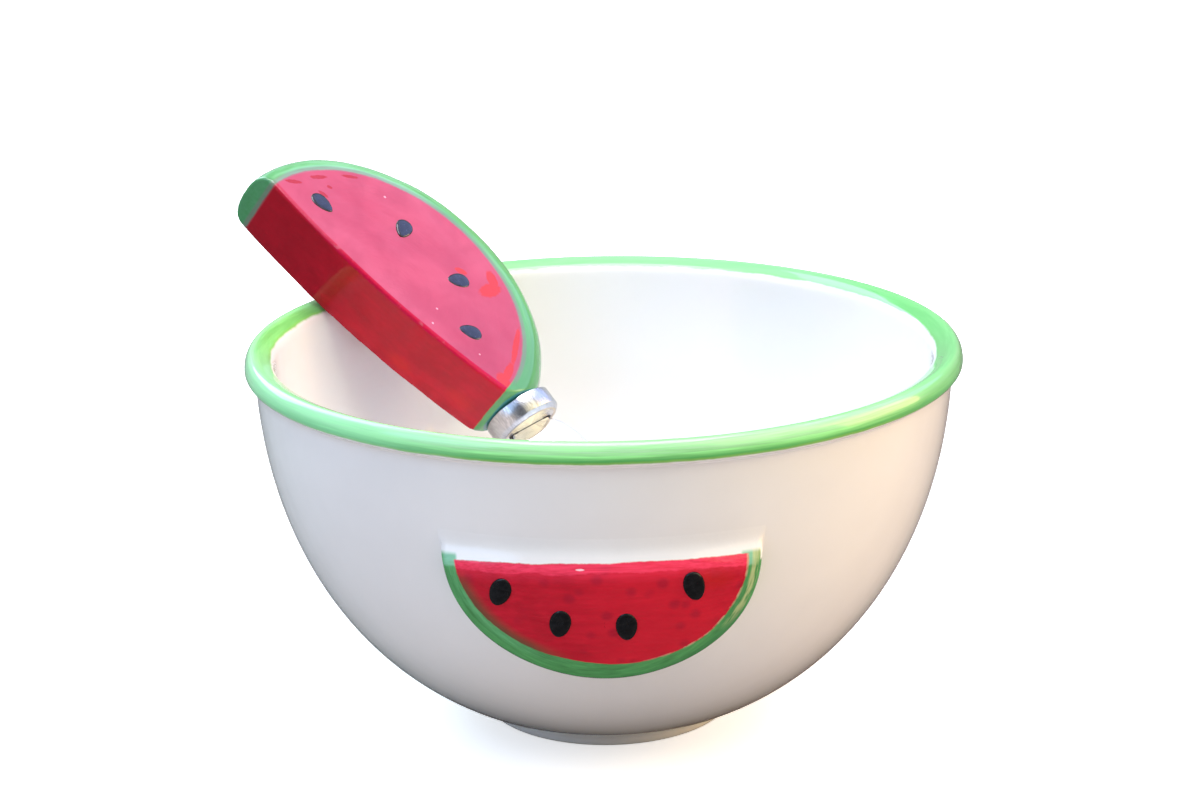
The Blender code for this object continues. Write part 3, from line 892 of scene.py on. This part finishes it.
def slice_material(sizes, colours):
    """Paints of the raised slice: red flesh, green rind, and white glaze where it meets the wall. Painted
    highlights light the flesh's right, its top ledge and the rind's middle and tips, and painted shade
    darkens the rind's outer edge low down.
    """
    material = new_material("Painted raised slice")
    place = in_millimetres(material, BOWL_FRAME)
    x, _, height = split(place)
    radius = vector_math("LENGTH", vector_math("MULTIPLY", place, (1, 1, 0)))
    lift = wall_lift(sizes, radius, height)
    fall = 54.4 - height
    lean = fall * sizes.slice_lean
    middle_x = x + 1.35
    across = middle_x - lean

    def oval_depth(flat, half_sizes, scale):
        """How far inside an oval, in mm where the scale is its mean radius."""
        return (1.0 - vector_math("LENGTH", vector_math("DIVIDE", flat, half_sizes))) * scale

    flat = point(across * ramp(across, -4.0, 18.0, 1.0, 0.977), fall)
    fuller = ramp(across, -6.0, 6.0) * ramp(across, 23.0, 17.0, 0.0, 0.6)
    inwards = oval_depth(flat, (25.4, 21.25, 1.0), 23.0) + fuller
    flesh = painted_edge(place, inwards, 0.22, 0.16)
    top_line = 53.98 - (x * x * 0.00072 + x * 0.002) + ramp(x, -12.0, 12.0, -0.25, 0.15)
    below_top = top_line - height
    topped = painted_edge(place, below_top, 0.25, 0.14)

    outer = point(middle_x - lean * ramp(middle_x, 12.0, -12.0), fall)
    rind_inwards = oval_depth(outer, (28.3, 25.55, 1.0), 26.0)
    face_rind = painted_edge(place, rind_inwards, 0.14, 0.12)
    flank = ramp(lift, 0.25, 0.5) * painted_edge(place, fall - 1.8, 0.3, 0.35)
    tips = painted_edge(place, 54.5 - height, 0.3, 0.2)
    blunt = most(ramp(lift, 1.2, 2.0), ramp(height, 53.4, 52.6))
    rind_top = tips * most(ramp(abs(across), 24.6, 25.2), topped) * blunt
    rind = most(face_rind, flank) * rind_top

    strokes = brush_strokes(place, 0.05, 0.42, 3.6)
    upright = point(x, height)
    warm = dab(upright, (18.5, 50.3, 0), (5.5, 3.4, 1), softness=0.8)
    # Painted highlight: the glint dab on the top edge.
    glint = dab(upright, (-4.6, 52.9, 0), (0.9, 0.2, 1))
    # Painted highlight: the ledge along the top edge and a fainter band under it are laid over with light
    # pink strokes.
    ledge = painted_edge(place, 1.75 - below_top, 0.55, 0.25)
    pale = brush_strokes(place, 0.05, 1.3, 3.4) * 0.55 + 0.45
    left_half = ramp(across, -5.0, -14.0)
    wash = ramp(inwards, 2.6, 0.1) * ramp(fall, 2.0, 7.0) * left_half
    red = layered(
        blend(strokes, colours.flesh, colours.flesh_bright),
        (smudges(place, 7.0) * 0.55, dimmed(colours.flesh, 0.78)),
        # Painted light: brighter red right of the middle of the raised slice.
        (ramp(across, -8.0, 4.0) * ramp(across, 23.0, 17.0, 0.0, 0.55), colours.flesh_lit_right),
        (ramp(cells(place, 0.23), 0.36, 0.1, 0.0, 0.6), colours.flesh_dark),
        (warm * 0.6, colours.orange_red),
        # Painted highlight on the top ledge.
        (pale * most(ledge, ramp(below_top, 4.2, 1.6, 0.0, 0.35)), colours.ledge_highlight_pink),
        (glint * 0.8, colours.glint),
        (wash * 0.8, colours.muddy_wash),
    )

    tone = brush_strokes(point(turn_of(fall, across) * 26.0, rind_inwards), 0.1, 0.9, 3.0)
    upper_right = ramp(across, 15.0, 20.0) * ramp(height, 38.0, 43.0)
    stripe = ramp(rind_inwards, 0.0, 0.2) * ramp(rind_inwards, 1.5, 1.1) * upper_right * ramp(tone, 0.1, 0.6)
    # Painted highlight: mint on the rind's top tips, which face up.
    tip = painted_edge(place, height - 52.0, 0.6, 0.3) * ramp(rind_inwards, 0.5, 1.3)
    # Painted shade: the rind's outer edge low on the slice is laid darker.
    low_side = ramp(rind_inwards, 1.2, 0.1) * ramp(fall, 8.0, 14.0)
    green = layered(
        blend(tone, dimmed(colours.rind, 0.72), dimmed(colours.rind, 1.2)),
        # Painted highlight along the middle of the left rind.
        (left_half * ramp(inwards, -2.2, -0.7, 0.0, 0.45) * tone, colours.rind_highlight),
        (tip, colours.mint_highlight),
        (stripe * 0.9, colours.rind_stripe),
        (low_side * 0.7, colours.rind_shade),
    )

    gap = ramp(abs(inwards), 0.28, 0.08) * ramp(across, 2.0, 14.0)
    broken = ramp(noise(place, 0.5, 3.0), 0.42, 0.58, 0.0, 0.6)
    surface = layered(
        white_glaze(place, colours),
        (rind, green),
        (flesh * topped, red),
        (gap * broken * topped, colours.cream),
    )
    relief = glaze_skin(place, 1.6, 0.15, 0.03) + strokes * 0.5 * rind_top
    return glazed(material, surface, spread(tone, 0.10, 0.2), relief, 0.8 - rind * 0.45)


def seed_material(name, base, coat, matrix, thickness=None):
    """Seed paint, with painted shade in a darker line round its foot on a slab of the thickness given in mm.
    """
    material = new_material(name)
    place = in_millimetres(material, matrix)
    tone = noise(place, 0.8, 3.0, 0.6)
    shade = blend(ramp(tone, 0.35, 0.65), base, tuple(part * 1.8 + 0.003 for part in base))
    if thickness is not None:
        # Painted shade: a darker line round the seed's foot, where it meets the face.
        rise = abs(split(place)[2] + thickness / 2) - thickness / 2
        shade = blend(ramp(rise, 0.12, 0.05), shade, dimmed(base, 0.25))
    return glazed(material, shade, spread(tone, 0.12, 0.3), glaze_skin(place, 0.4, 0.5, 0.0), coat, 0.12 * MM)


def handle_material(sizes, colours):
    """Pink faces, their pink partly a painted sheen, red cut side, green rind and the teal line at the neck.
    Painted shade lies on the rind's end and neck and at the cut side's far end, and a painted highlight lies
    on the rind's far end.
    """
    material = new_material("Painted handle")
    place = in_millimetres(material, handle_frame(sizes))
    x, y, z = split(place)
    half = sizes.chord / MM / 2
    thick = sizes.thickness / MM
    along = x + half
    rounded = vector_math("DIVIDE", point(along, most(y, 0.0)), (half, sizes.flesh_depth / MM, 1.0))
    oval = vector_math("LENGTH", rounded)
    inwards = (1.0 - oval) * 30.0
    flesh = painted_edge(place, inwards, 0.3, 0.2)
    share = along / half
    from_cut = y + (1.0 - share * share) * 2.6
    cut_distance = thick / 2 - abs(z + thick / 2) - from_cut * 1.6
    cut = painted_edge(place, cut_distance, 0.12, 0.12)

    lengthwise = stretch(place, (1, 1, 1), (0, 0, -0.35))
    strokes = brush_strokes(lengthwise, 0.03, 0.06, 1.9)
    clouds = smudges(place, 11.0)
    # Partly painted reflection: the pink of the faces carries the glaze's sheen.
    pink = layered(
        blend(strokes, colours.pink, colours.pink_light),
        (clouds * 0.5, dimmed(colours.pink, 0.8)),
        (ramp(x, -26.0, -8.0, 0.0, 0.35), dimmed(colours.pink, 0.75)),
        (dabs(place, THICK_RED_DABS, 0.5), colours.dash_red),
        (dabs(place, WARM_DABS, 0.35), colours.patch_red),
        (dabs(place, PALE_SPECKS) * 0.6, colours.pink_speck),
    )
    side_on = point(x, z)
    red = layered(
        blend(brush_strokes(place, 0.09, 0.3, 3.2), dimmed(colours.cut_red, 0.78), colours.cut_red),
        (smudges(place, 4.5) * 0.4, dimmed(colours.cut_red, 0.6)),
        # Painted shade: the cut side is darker towards the far end.
        (ramp(x, -34.0, -56.0, 0.0, 0.6), dimmed(colours.cut_red, 0.62)),
        (dab(side_on, (-20.6, -11.3, 0), (4.5, 2.2, 1), softness=0.8) * 0.4, colours.orange_red),
        (dab(side_on, (-6.0, -9.0, 0), (5.0, 3.0, 1), softness=0.8) * 0.3, colours.orange_red),
    )
    line = ramp(abs(cut_distance + 0.5), 1.25, 0.85) * ramp(noise(place, 0.35, 3.0), 0.28, 0.4)
    line = line * ramp(x, -52.0, -40.0, 0.45, 1.0)

    along_oval, across_oval, _ = split(rounded)
    arc = point(turn_of(across_oval, along_oval) * 30.0, oval * 30.0, z)
    rind_strokes = brush_strokes(arc, 0.05, 0.42, 3.4)
    # Painted shade: the rind by the cut side, darker still towards the far end.
    end_face_shade = blend(ramp(x, -40.0, -55.0), dimmed(colours.rind, 0.75), colours.rind_shade)
    green = layered(
        blend(rind_strokes, dimmed(colours.rind, 0.95), colours.rind_fresh),
        # Painted highlight: mint on the rind towards the handle's far end.
        (ramp(x, -30.0, -48.0) * (rind_strokes * 0.7 + 0.1), colours.mint_highlight),
        # Painted shade: the rind is darker by the neck.
        (ramp(x, -9.0, -1.0, 0.0, 0.7), dimmed(colours.rind, 0.7)),
        (ramp(y, 1.6, 0.3, 0.0, 0.85), end_face_shade),
    )
    wash = ramp(abs(inwards + 0.3), 0.85, 0.2, 0.0, 0.6) * most(ramp(y, 2.0, 6.0), ramp(x, -30.0, -50.0))
    past_neck = split(in_millimetres(material, shaft_frame(sizes)))[0]
    surface = layered(
        green,
        (flesh, layered(pink, (cut, red), (line, colours.edge_red))),
        (wash, colours.edge_grey),
        (painted_edge(place, past_neck + 0.2, 0.1, 0.1), colours.teal),
    )

    skin = glaze_skin(stretch(lengthwise, (0.45, 1, 1)), 3.4, 0.03, 0.03)
    dulled = most(cut, line) * flesh * 0.52
    under = ramp(z, -thick * 0.7, -thick * 0.95, 0.0, 0.55)
    relief = skin + (strokes + rind_strokes) * 0.2
    return glazed(material, surface, spread(clouds, 0.08, 0.16), relief, 0.8 - most(dulled, under))


def steel_material(sizes, colours):
    """Ferrule: steel turned and polished, with fine lines, a painted dark reflection along its top and one
    side painted darker as reflection, and the cement round the blade on its face.
    """
    material = new_material("Ferrule steel")
    place = in_millimetres(material, shaft_frame(sizes))
    x, y, z = split(place)
    ring = vector_math("MULTIPLY", place, (0, 1, 1))
    radius = vector_math("LENGTH", ring)
    radial = vector_math("NORMALIZE", ring)
    drift = vector_math("MULTIPLY", place, (0.02, 0, 0))
    lines = noise(vector_math("ADD", radial, drift), 42.0, 4.0, 0.7)
    # Painted reflection: a dark band at one turn round the ferrule, broken by the polish lines.
    away = abs(turn_of(z, y) - 2.39)
    dark_reflection_streak = ramp(away, 0.22, 0.1) * ramp(lines, 0.4, 0.5, 0.4, 0.85) * ramp(radius, 7.3, 7.45)
    # Painted reflection: one side of the ferrule is laid darker, with the polish lines in it.
    painted_dark_side = ramp(y, -4.5, -6.6) * ramp(lines, 0.35, 0.6, 0.35, 0.8)
    end = (GLUE_GAP + sizes.ferrule_length) / MM
    on_face = ramp(x, end - 0.1, end - 0.03) * ramp(radius, 6.65, 6.5)
    stain = blend(noise(place, 0.7, 4.0, 0.6), colours.cement, dimmed(colours.cement, 0.8))
    surface = layered(
        blend(ramp(lines, 0.42, 0.62), colours.steel, dimmed(colours.steel, 0.7)),
        (ramp(noise(radial, 7.0, 3.0, 0.6), 0.5, 0.62, 0.0, 0.5), dimmed(colours.steel, 0.55)),
        (dark_reflection_streak, colours.steel_dark_reflection),
        (painted_dark_side, dimmed(colours.steel, 0.5)),
        (on_face * 0.85, stain),
    )
    roughness = most(ramp(lines, 0.3, 0.7, 0.09, 0.22), on_face * 0.4)
    return close_material(material, surface, roughness, lines, 0.05 * MM, Metallic=1.0 - on_face * 0.75)


def blade_material(sizes, colours):
    """Blade: polished steel with faint lengthwise lines, brightest at the ferrule, with painted shade further
    along.
    """
    material = new_material("Blade steel")
    place = in_millimetres(material, blade_frame(sizes))
    lines = brush_strokes(place, 0.05, 4.0, 1.5)
    cloud = smudges(place, 14.0)
    surface = layered(
        blend(cloud, colours.blade_steel, dimmed(colours.blade_steel, 0.94)),
        # Painted shade: the steel is darker further along the blade, away from the ferrule.
        (ramp(split(place)[0], 13.0, 22.0), dimmed(colours.blade_steel, 0.7)),
    )
    roughness = lines * 0.06 + cloud * 0.05 + 0.05
    return close_material(material, surface, roughness, lines, 0.012 * MM, Metallic=1.0)


def cement_material(colours):
    """Dark hardened cement squeezed out at the slot's ends."""
    material = new_material("Dark cement")
    grain = noise(in_millimetres(material, Matrix()), 2.4, 5.0, 0.65)
    shade = blend(ramp(grain, 0.4, 0.7), colours.soot, colours.soot_worn)
    return close_material(material, shade, ramp(grain, 0.3, 0.7, 0.3, 0.6), grain, 0.1 * MM)


def floor_material(studio):
    """Floor that the camera sees as near white, and that sends less light back up."""
    material = new_material("Pale floor")
    tree = material.node_tree
    place = wire(tree, "TexCoord", {}, "Object")
    seen = wire(tree, "LightPath", {}, "Is Camera Ray")
    mirrored = wire(tree, "LightPath", {}, "Is Glossy Ray")
    surface = layered(
        blend(seen, studio.floor_bounce, studio.floor),
        (mirrored, dimmed(studio.floor_bounce, 0.2)),
        (ramp(noise(place, 9.0, 3.0), 0.3, 0.7) * 0.02, (0.8, 0.8, 0.8)),
    )
    glow = blend(seen, ORIGIN, (studio.shadow_fill,) * 3)
    emission = {"Emission_Color": glow, "Emission_Strength": 1.0}
    return close_material(material, surface, 0.55, noise(place, 300.0), 0.02 * MM, **emission)


def light_room(world, sky):
    """White for the camera, even light for the rest, and a bright ceiling for what reflects it."""
    world.use_nodes = True
    tree = world.node_tree
    background = tree.nodes["Background"]
    background.inputs["Color"].default_value = (1.0, 1.0, 1.0, 1.0)
    upwards = split(wire(tree, "TexCoord", {}, "Generated"))[2]
    seen = wire(tree, "LightPath", {}, "Is Camera Ray")
    mirrored = wire(tree, "LightPath", {}, "Is Glossy Ray")
    ceiling = mirrored * ramp(upwards, 0.74, 0.86, 0.0, 1.3)
    feed(most(most(seen, sky), ceiling), background.inputs["Strength"])


def settings(context):
    """Settings of the bowl, the spreader and the colours."""
    scene = context.scene
    return scene.dipbowl_bowl, scene.dipbowl_spreader, scene.dipbowl_colours


# Operators


class DIPBOWL_OT_bowl(bpy.types.Operator):
    """Turn the bowl: foot, wall and rim bead in one closed profile"""

    bl_idname = "dipbowl.bowl"
    bl_label = "Bowl"

    def execute(self, context):
        sizes, _, colours = settings(context)
        top = sizes.rim_height
        heights = (sizes.foot_height, top - sizes.bead_height)
        outside = wall_curve(top, sizes.wall_radius, sizes.wall_drop, sizes.wall_power, heights, 56)
        heights = (sizes.floor_height, top - sizes.lip_drop - 2.4 * MM)
        inside = wall_curve(top, sizes.inner_radius, top - sizes.floor_height, sizes.inner_power, heights, 60)
        inside.reverse()
        rim = rim_curve(sizes, outside[-1], inside[0])
        curve = foot_curve(sizes, outside[0]) + outside[1:] + rim + inside[1:]
        body = turned("bowl_body", [(r, 0.0, z) for r, z in curve], (0, 0, 1), 256)
        placed(body, BOWL_FRAME)
        finished(body, bowl_material(sizes, colours), "bowl")
        return {"FINISHED"}


class DIPBOWL_OT_raised_slice(bpy.types.Operator):
    """Raise the melon slice on the bowl's front, with a fillet that runs out over the wall"""

    bl_idname = "dipbowl.raised_slice"
    bl_label = "Raised slice"

    def execute(self, context):
        sizes, _, colours = settings(context)
        root = (-1.2, -4.0, -1.5)
        face = SLICE_RISE[-1]
        steps = [((-1.0, -3.0, -1.5), share) for share in (0.2, 0.6)]
        steps += [(step, 1.0) for step in (root, *SLICE_RISE)]
        steps += [(face, share) for share in (0.9, 0.8, 0.7, 0.6, 0.5, 0.4, 0.3, 0.2, 0.1, 0.03)]
        rings = []
        for (side, down, lift), share in steps:
            outline = slice_outline(sizes, side * MM, down * MM, share)
            rings.append([on_wall(sizes, across, height, lift * MM)[0] for across, height in outline])
        relief = raised("raised_slice", rings)
        finished(relief, slice_material(sizes, colours), "bowl")
        return {"FINISHED"}


def seed_dome(wide, tall, taper, puff, fold):
    """One seed lying on the XY plane, narrow at its -Y end, modelled once for every copy."""
    rings = []
    for share, lift in SEED_DOME:
        ring = []
        for step in range(64):
            turn = math.tau * step / 64
            across = wide / 2 * math.cos(turn) * (1 + taper * math.sin(turn)) * share
            along = tall / 2 * math.sin(turn) * share
            from_crease = (along - 0.14 * tall - 0.25 * across) / (0.28 * MM)
            crease = fold * math.exp(-from_crease * from_crease) if lift > 0.1 else 0.0
            rise = lift * MM if lift < 0 else lift * puff * MM
            ring.append(Vector((across, along, rise - crease)))
        rings.append(ring)
    return raised("seed", rings)


class DIPBOWL_OT_bowl_seeds(bpy.types.Operator):
    """Set four black seeds into the raised slice's face"""

    bl_idname = "dipbowl.bowl_seeds"
    bl_label = "Bowl seeds"

    def execute(self, context):
        sizes, _, colours = settings(context)
        material = seed_material("Black seeds", colours.seed_black, 0.35, BOWL_FRAME)
        model = seed_dome(3.7 * MM, 6.0 * MM, 0.1, 1.0, 0.14 * MM)
        for count, (across, height, lean) in enumerate(BOWL_SEEDS, 1):
            middle, outwards = on_wall(sizes, across * MM, height * MM, 3.2 * MM)
            level = Vector((0, 0, 1)).cross(outwards).normalized()
            turn = Matrix((level, outwards.cross(level), outwards)).transposed().to_4x4()
            seed = copied(model, f"bowl_seed_{count}")
            placed(seed, Matrix.Translation(middle) @ turn @ Matrix.Rotation(math.radians(lean), 4, "Z"))
            finished(seed, material, "bowl")
        bpy.data.objects.remove(model)
        return {"FINISHED"}


class DIPBOWL_OT_handle(bpy.types.Operator):
    """Model the spreader's ceramic slice with its flared neck, then soften it as slip-cast clay"""

    bl_idname = "dipbowl.handle"
    bl_label = "Handle"

    def execute(self, context):
        _, sizes, colours = settings(context)
        levels = (1.0, 0.995, 0.98, 0.96, 0.93, 0.88, 0.81, 0.72, 0.6, 0.45, 0.3, 0.15, 0.0)
        levels = [-level for level in levels[:-1]] + list(reversed(levels))
        handle = raised("handle_body", [handle_outline(sizes, level) for level in levels])
        placed(handle, handle_frame(sizes))
        neck = sizes.neck_radius
        profile = [(0.0, 0.0, 0.0), (0.0, 0.0, neck)]
        for back in (0.15, 0.4, 0.8, 1.3, 2.0, 2.8, 4.0, 5.5, 7.5, 10.0):
            profile.append((-back * MM, 0.0, neck + 2.2 * MM * math.sqrt(back)))
        reach = 2 * sizes.chord
        profile += [(-25 * MM, 0.0, reach), (-reach, 0.0, reach), (-reach, 0.0, 0.0)]
        flare = placed(turned("flare", profile, (1, 0, 0), 96), shaft_frame(sizes))
        combined(handle, flare, "INTERSECT")
        start, end, stub_radius = -4 * MM, 3.2 * MM, 6.2 * MM
        stub_profile = [(start, 0, 0), (start, 0, stub_radius), (end, 0, stub_radius), (end, 0, 0)]
        stub = placed(turned("stub", stub_profile, (1, 0, 0), 64), shaft_frame(sizes))
        combined(handle, stub, "UNION")
        modified(handle, "REMESH", mode="VOXEL", voxel_size=0.34 * MM, use_smooth_shade=True)
        modified(handle, "SMOOTH", factor=0.5, iterations=7)
        lumps = bpy.data.textures.new("Hand-shaped lumps", "CLOUDS")
        lumps.noise_scale = 11 * MM
        lumps.noise_depth = 1
        modified(handle, "DISPLACE", texture=lumps, strength=0.3 * MM, mid_level=0.5, texture_coords="LOCAL")
        bpy.ops.object.shade_smooth()
        finished(handle, handle_material(sizes, colours), "handle")
        return {"FINISHED"}


class DIPBOWL_OT_handle_seeds(bpy.types.Operator):
    """Set four navy seeds into each face of the handle"""

    bl_idname = "dipbowl.handle_seeds"
    bl_label = "Handle seeds"

    def execute(self, context):
        _, sizes, colours = settings(context)
        whole = handle_frame(sizes)
        material = seed_material("Navy seeds", colours.seed_navy, 0.8, whole, sizes.thickness / MM)
        model = seed_dome(3.6 * MM, 5.3 * MM, 0.26, 0.45, 0.0)
        for face, height, flip in (("top", 0.0, 0.0), ("under", -sizes.thickness, math.pi)):
            for count, (along, across, lean) in enumerate(HANDLE_SEEDS, 1):
                seed = copied(model, f"handle_seed_{face}_{count}")
                here = Matrix.Translation((-along * MM, across * MM, height))
                turn = Matrix.Rotation(math.radians(lean), 4, "Z") @ Matrix.Rotation(flip, 4, "Y")
                placed(seed, whole @ here @ turn)
                finished(seed, material, "handle")
        bpy.data.objects.remove(model)
        return {"FINISHED"}


def slot_cutter(sizes, reach, extra):
    """Block as wide and thick as the tang and a little more, turned with the blade."""
    deselect_all()
    bpy.ops.mesh.primitive_cube_add(size=1.0)
    cutter = bpy.context.active_object
    cutter.name = "slot"
    size = Matrix.Diagonal((2 * reach, sizes.tang_width + extra, sizes.blade_thickness + extra, 1))
    return placed(cutter, blade_frame(sizes) @ size)


class DIPBOWL_OT_ferrule(bpy.types.Operator):
    """Turn the steel ferrule, cut the blade's slot in its face and add the cement spots there"""

    bl_idname = "dipbowl.ferrule"
    bl_label = "Ferrule"

    def execute(self, context):
        _, sizes, colours = settings(context)
        start = GLUE_GAP
        end = start + sizes.ferrule_length
        radius = sizes.ferrule_radius
        bore = 6.5 * MM
        dish = 0.08 * MM
        soft = 0.12 * MM
        chamfer = sizes.chamfer
        outline = [
            (end - 1.2 * MM, 0.0),
            (end - 1.2 * MM, bore),
            (start, bore),
            (start, radius - 2 * soft),
            (start + soft, radius - soft / 2),
            (start + 2.5 * soft, radius),
            (end - chamfer - soft, radius),
            (end - chamfer + soft * 0.6, radius - soft * 0.8),
            (end - soft * 0.8, radius - chamfer + soft * 0.6),
            (end, radius - chamfer - soft),
            (end, 6.1 * MM),
            (end - dish, 6.0 * MM),
            (end - dish, 0.0),
        ]
        ferrule = turned("ferrule_cup", [(along, 0.0, out) for along, out in outline], (1, 0, 0), 160)
        placed(ferrule, shaft_frame(sizes))
        combined(ferrule, slot_cutter(sizes, 12 * MM, 0.5 * MM), "DIFFERENCE")
        bpy.ops.object.shade_smooth_by_angle(angle=math.radians(28))
        finished(ferrule, steel_material(sizes, colours), "ferrule")
        material = cement_material(colours)
        for count, side in enumerate((-0.9, 1), 1):
            deselect_all()
            bpy.ops.mesh.primitive_ico_sphere_add(subdivisions=4, radius=1.0)
            lump = edit_new(f"cement_spot_{count}")
            bpy.ops.transform.vertex_random(offset=0.06, seed=count)
            bpy.ops.mesh.vertices_smooth(factor=0.5, repeat=2)
            finish_edit(lump)
            flat = Matrix.Diagonal((0.35 * MM, 1.5 * MM, 0.95 * MM, 1))
            here = Matrix.Translation((end, side * sizes.tang_width * 0.44, -0.2 * MM))
            placed(lump, blade_frame(sizes) @ here @ flat)
            finished(lump, material, "ferrule")
        return {"FINISHED"}


class DIPBOWL_OT_blade(bpy.types.Operator):
    """Cut the blade from sheet: tang, shoulders and round tip, with its edges softened"""

    bl_idname = "dipbowl.blade"
    bl_label = "Blade"

    def execute(self, context):
        _, sizes, colours = settings(context)
        neck = GLUE_GAP + sizes.ferrule_length
        half = sizes.blade_width / 2
        tang = sizes.tang_width / 2
        points = [(-12 * MM, tang), (neck + 0.4 * MM, tang)]
        bend = (neck + 2.4 * MM, 7.7 * MM)
        ease = (neck + 8.5 * MM, 9.3 * MM)
        points += bezier(points[-1], bend, ease, (neck + 20 * MM, half), 24)
        tip_middle = neck + sizes.blade_length - half
        for step in range(36):
            turn = math.pi / 2 * step / 36
            points.append((tip_middle + half * math.sin(turn), half * math.cos(turn)))
        tip = (neck + sizes.blade_length, 0.0)
        ring = points + [tip] + [(x, -y) for x, y in reversed(points)]
        thick = sizes.blade_thickness / 2
        rings = [[Vector((x, y, side * thick)) for x, y in ring] for side in (-1, 1)]
        blade = raised("blade_sheet", rings)
        corners = {"limit_method": "ANGLE", "angle_limit": math.radians(50)}
        modified(blade, "BEVEL", width=0.32 * MM, segments=3, **corners)
        bpy.ops.object.shade_smooth_by_angle(angle=math.radians(30))
        placed(blade, blade_frame(sizes))
        finished(blade, blade_material(sizes, colours), "blade")
        return {"FINISHED"}


class DIPBOWL_OT_studio(bpy.types.Operator):
    """Lay the pale floor, hang the soft lights and stand the camera where the picture was taken"""

    bl_idname = "dipbowl.studio"
    bl_label = "Studio"

    def execute(self, context):
        scene = context.scene
        studio = scene.dipbowl_studio
        scene.view_settings.view_transform = "Standard"
        deselect_all()
        bpy.ops.mesh.primitive_circle_add(vertices=96, radius=4.0, fill_type="NGON")
        floor = edit_new("floor")
        bpy.ops.mesh.inset(thickness=3.4)
        finish_edit(floor)
        floor.data.materials.append(floor_material(studio))

        middle = Vector((BOWL_X, 0, 0.04))
        for name, where, power, tint in LIGHTS:
            bpy.ops.object.light_add(type="AREA", location=where)
            lamp = bpy.context.active_object
            lamp.name = lamp.data.name = name
            lamp.data.energy = power * studio.brightness
            lamp.data.size = 1.0
            lamp.data.color = tint
            lamp.rotation_euler = (middle - Vector(where)).to_track_quat("-Z", "Y").to_euler()
        scene.world = bpy.data.worlds.new("Room")
        light_room(scene.world, studio.sky)

        stand = Matrix((CAMERA_RIGHT, CAMERA_UP, CAMERA_BACK)).transposed().to_4x4()
        stand.translation = Vector(CAMERA_PLACE)
        bpy.ops.object.camera_add()
        camera = bpy.context.active_object
        camera.name = camera.data.name = "Camera"
        camera.matrix_world = stand
        camera.data.lens = studio.lens
        camera.data.sensor_width = 36.0
        camera.data.clip_start = 0.01
        scene.camera = camera
        return {"FINISHED"}


STEPS = (
    DIPBOWL_OT_bowl,
    DIPBOWL_OT_raised_slice,
    DIPBOWL_OT_bowl_seeds,
    DIPBOWL_OT_handle,
    DIPBOWL_OT_handle_seeds,
    DIPBOWL_OT_ferrule,
    DIPBOWL_OT_blade,
    DIPBOWL_OT_studio,
)


def pointer_name(group):
    """Name on the scene of a group of settings."""
    return group.__name__.replace("DIPBOWL_PG_", "dipbowl_")


class DIPBOWL_PT_panel(bpy.types.Panel):
    """Buttons for each piece, and the settings that they read"""

    bl_idname = "DIPBOWL_PT_panel"
    bl_label = "Dip Bowl"
    bl_space_type = "VIEW_3D"
    bl_region_type = "UI"
    bl_category = "Dip Bowl"

    def draw(self, context):
        for step in STEPS:
            self.layout.operator(step.bl_idname, text=step.bl_label)
        for group in GROUPS:
            box = self.layout.box()
            for name in group.__annotations__:
                box.prop(getattr(context.scene, pointer_name(group)), name)


def register():
    for item in (*GROUPS, *STEPS, DIPBOWL_PT_panel):
        bpy.utils.register_class(item)
    for group in GROUPS:
        setattr(bpy.types.Scene, pointer_name(group), bpy.props.PointerProperty(type=group))


def unregister():
    for group in GROUPS:
        delattr(bpy.types.Scene, pointer_name(group))
    for item in reversed((*GROUPS, *STEPS, DIPBOWL_PT_panel)):
        bpy.utils.unregister_class(item)


def main():
    register()
    for step in STEPS:
        family, name = step.bl_idname.split(".")
        getattr(getattr(bpy.ops, family), name)()


if __name__ == "__main__":
    main()
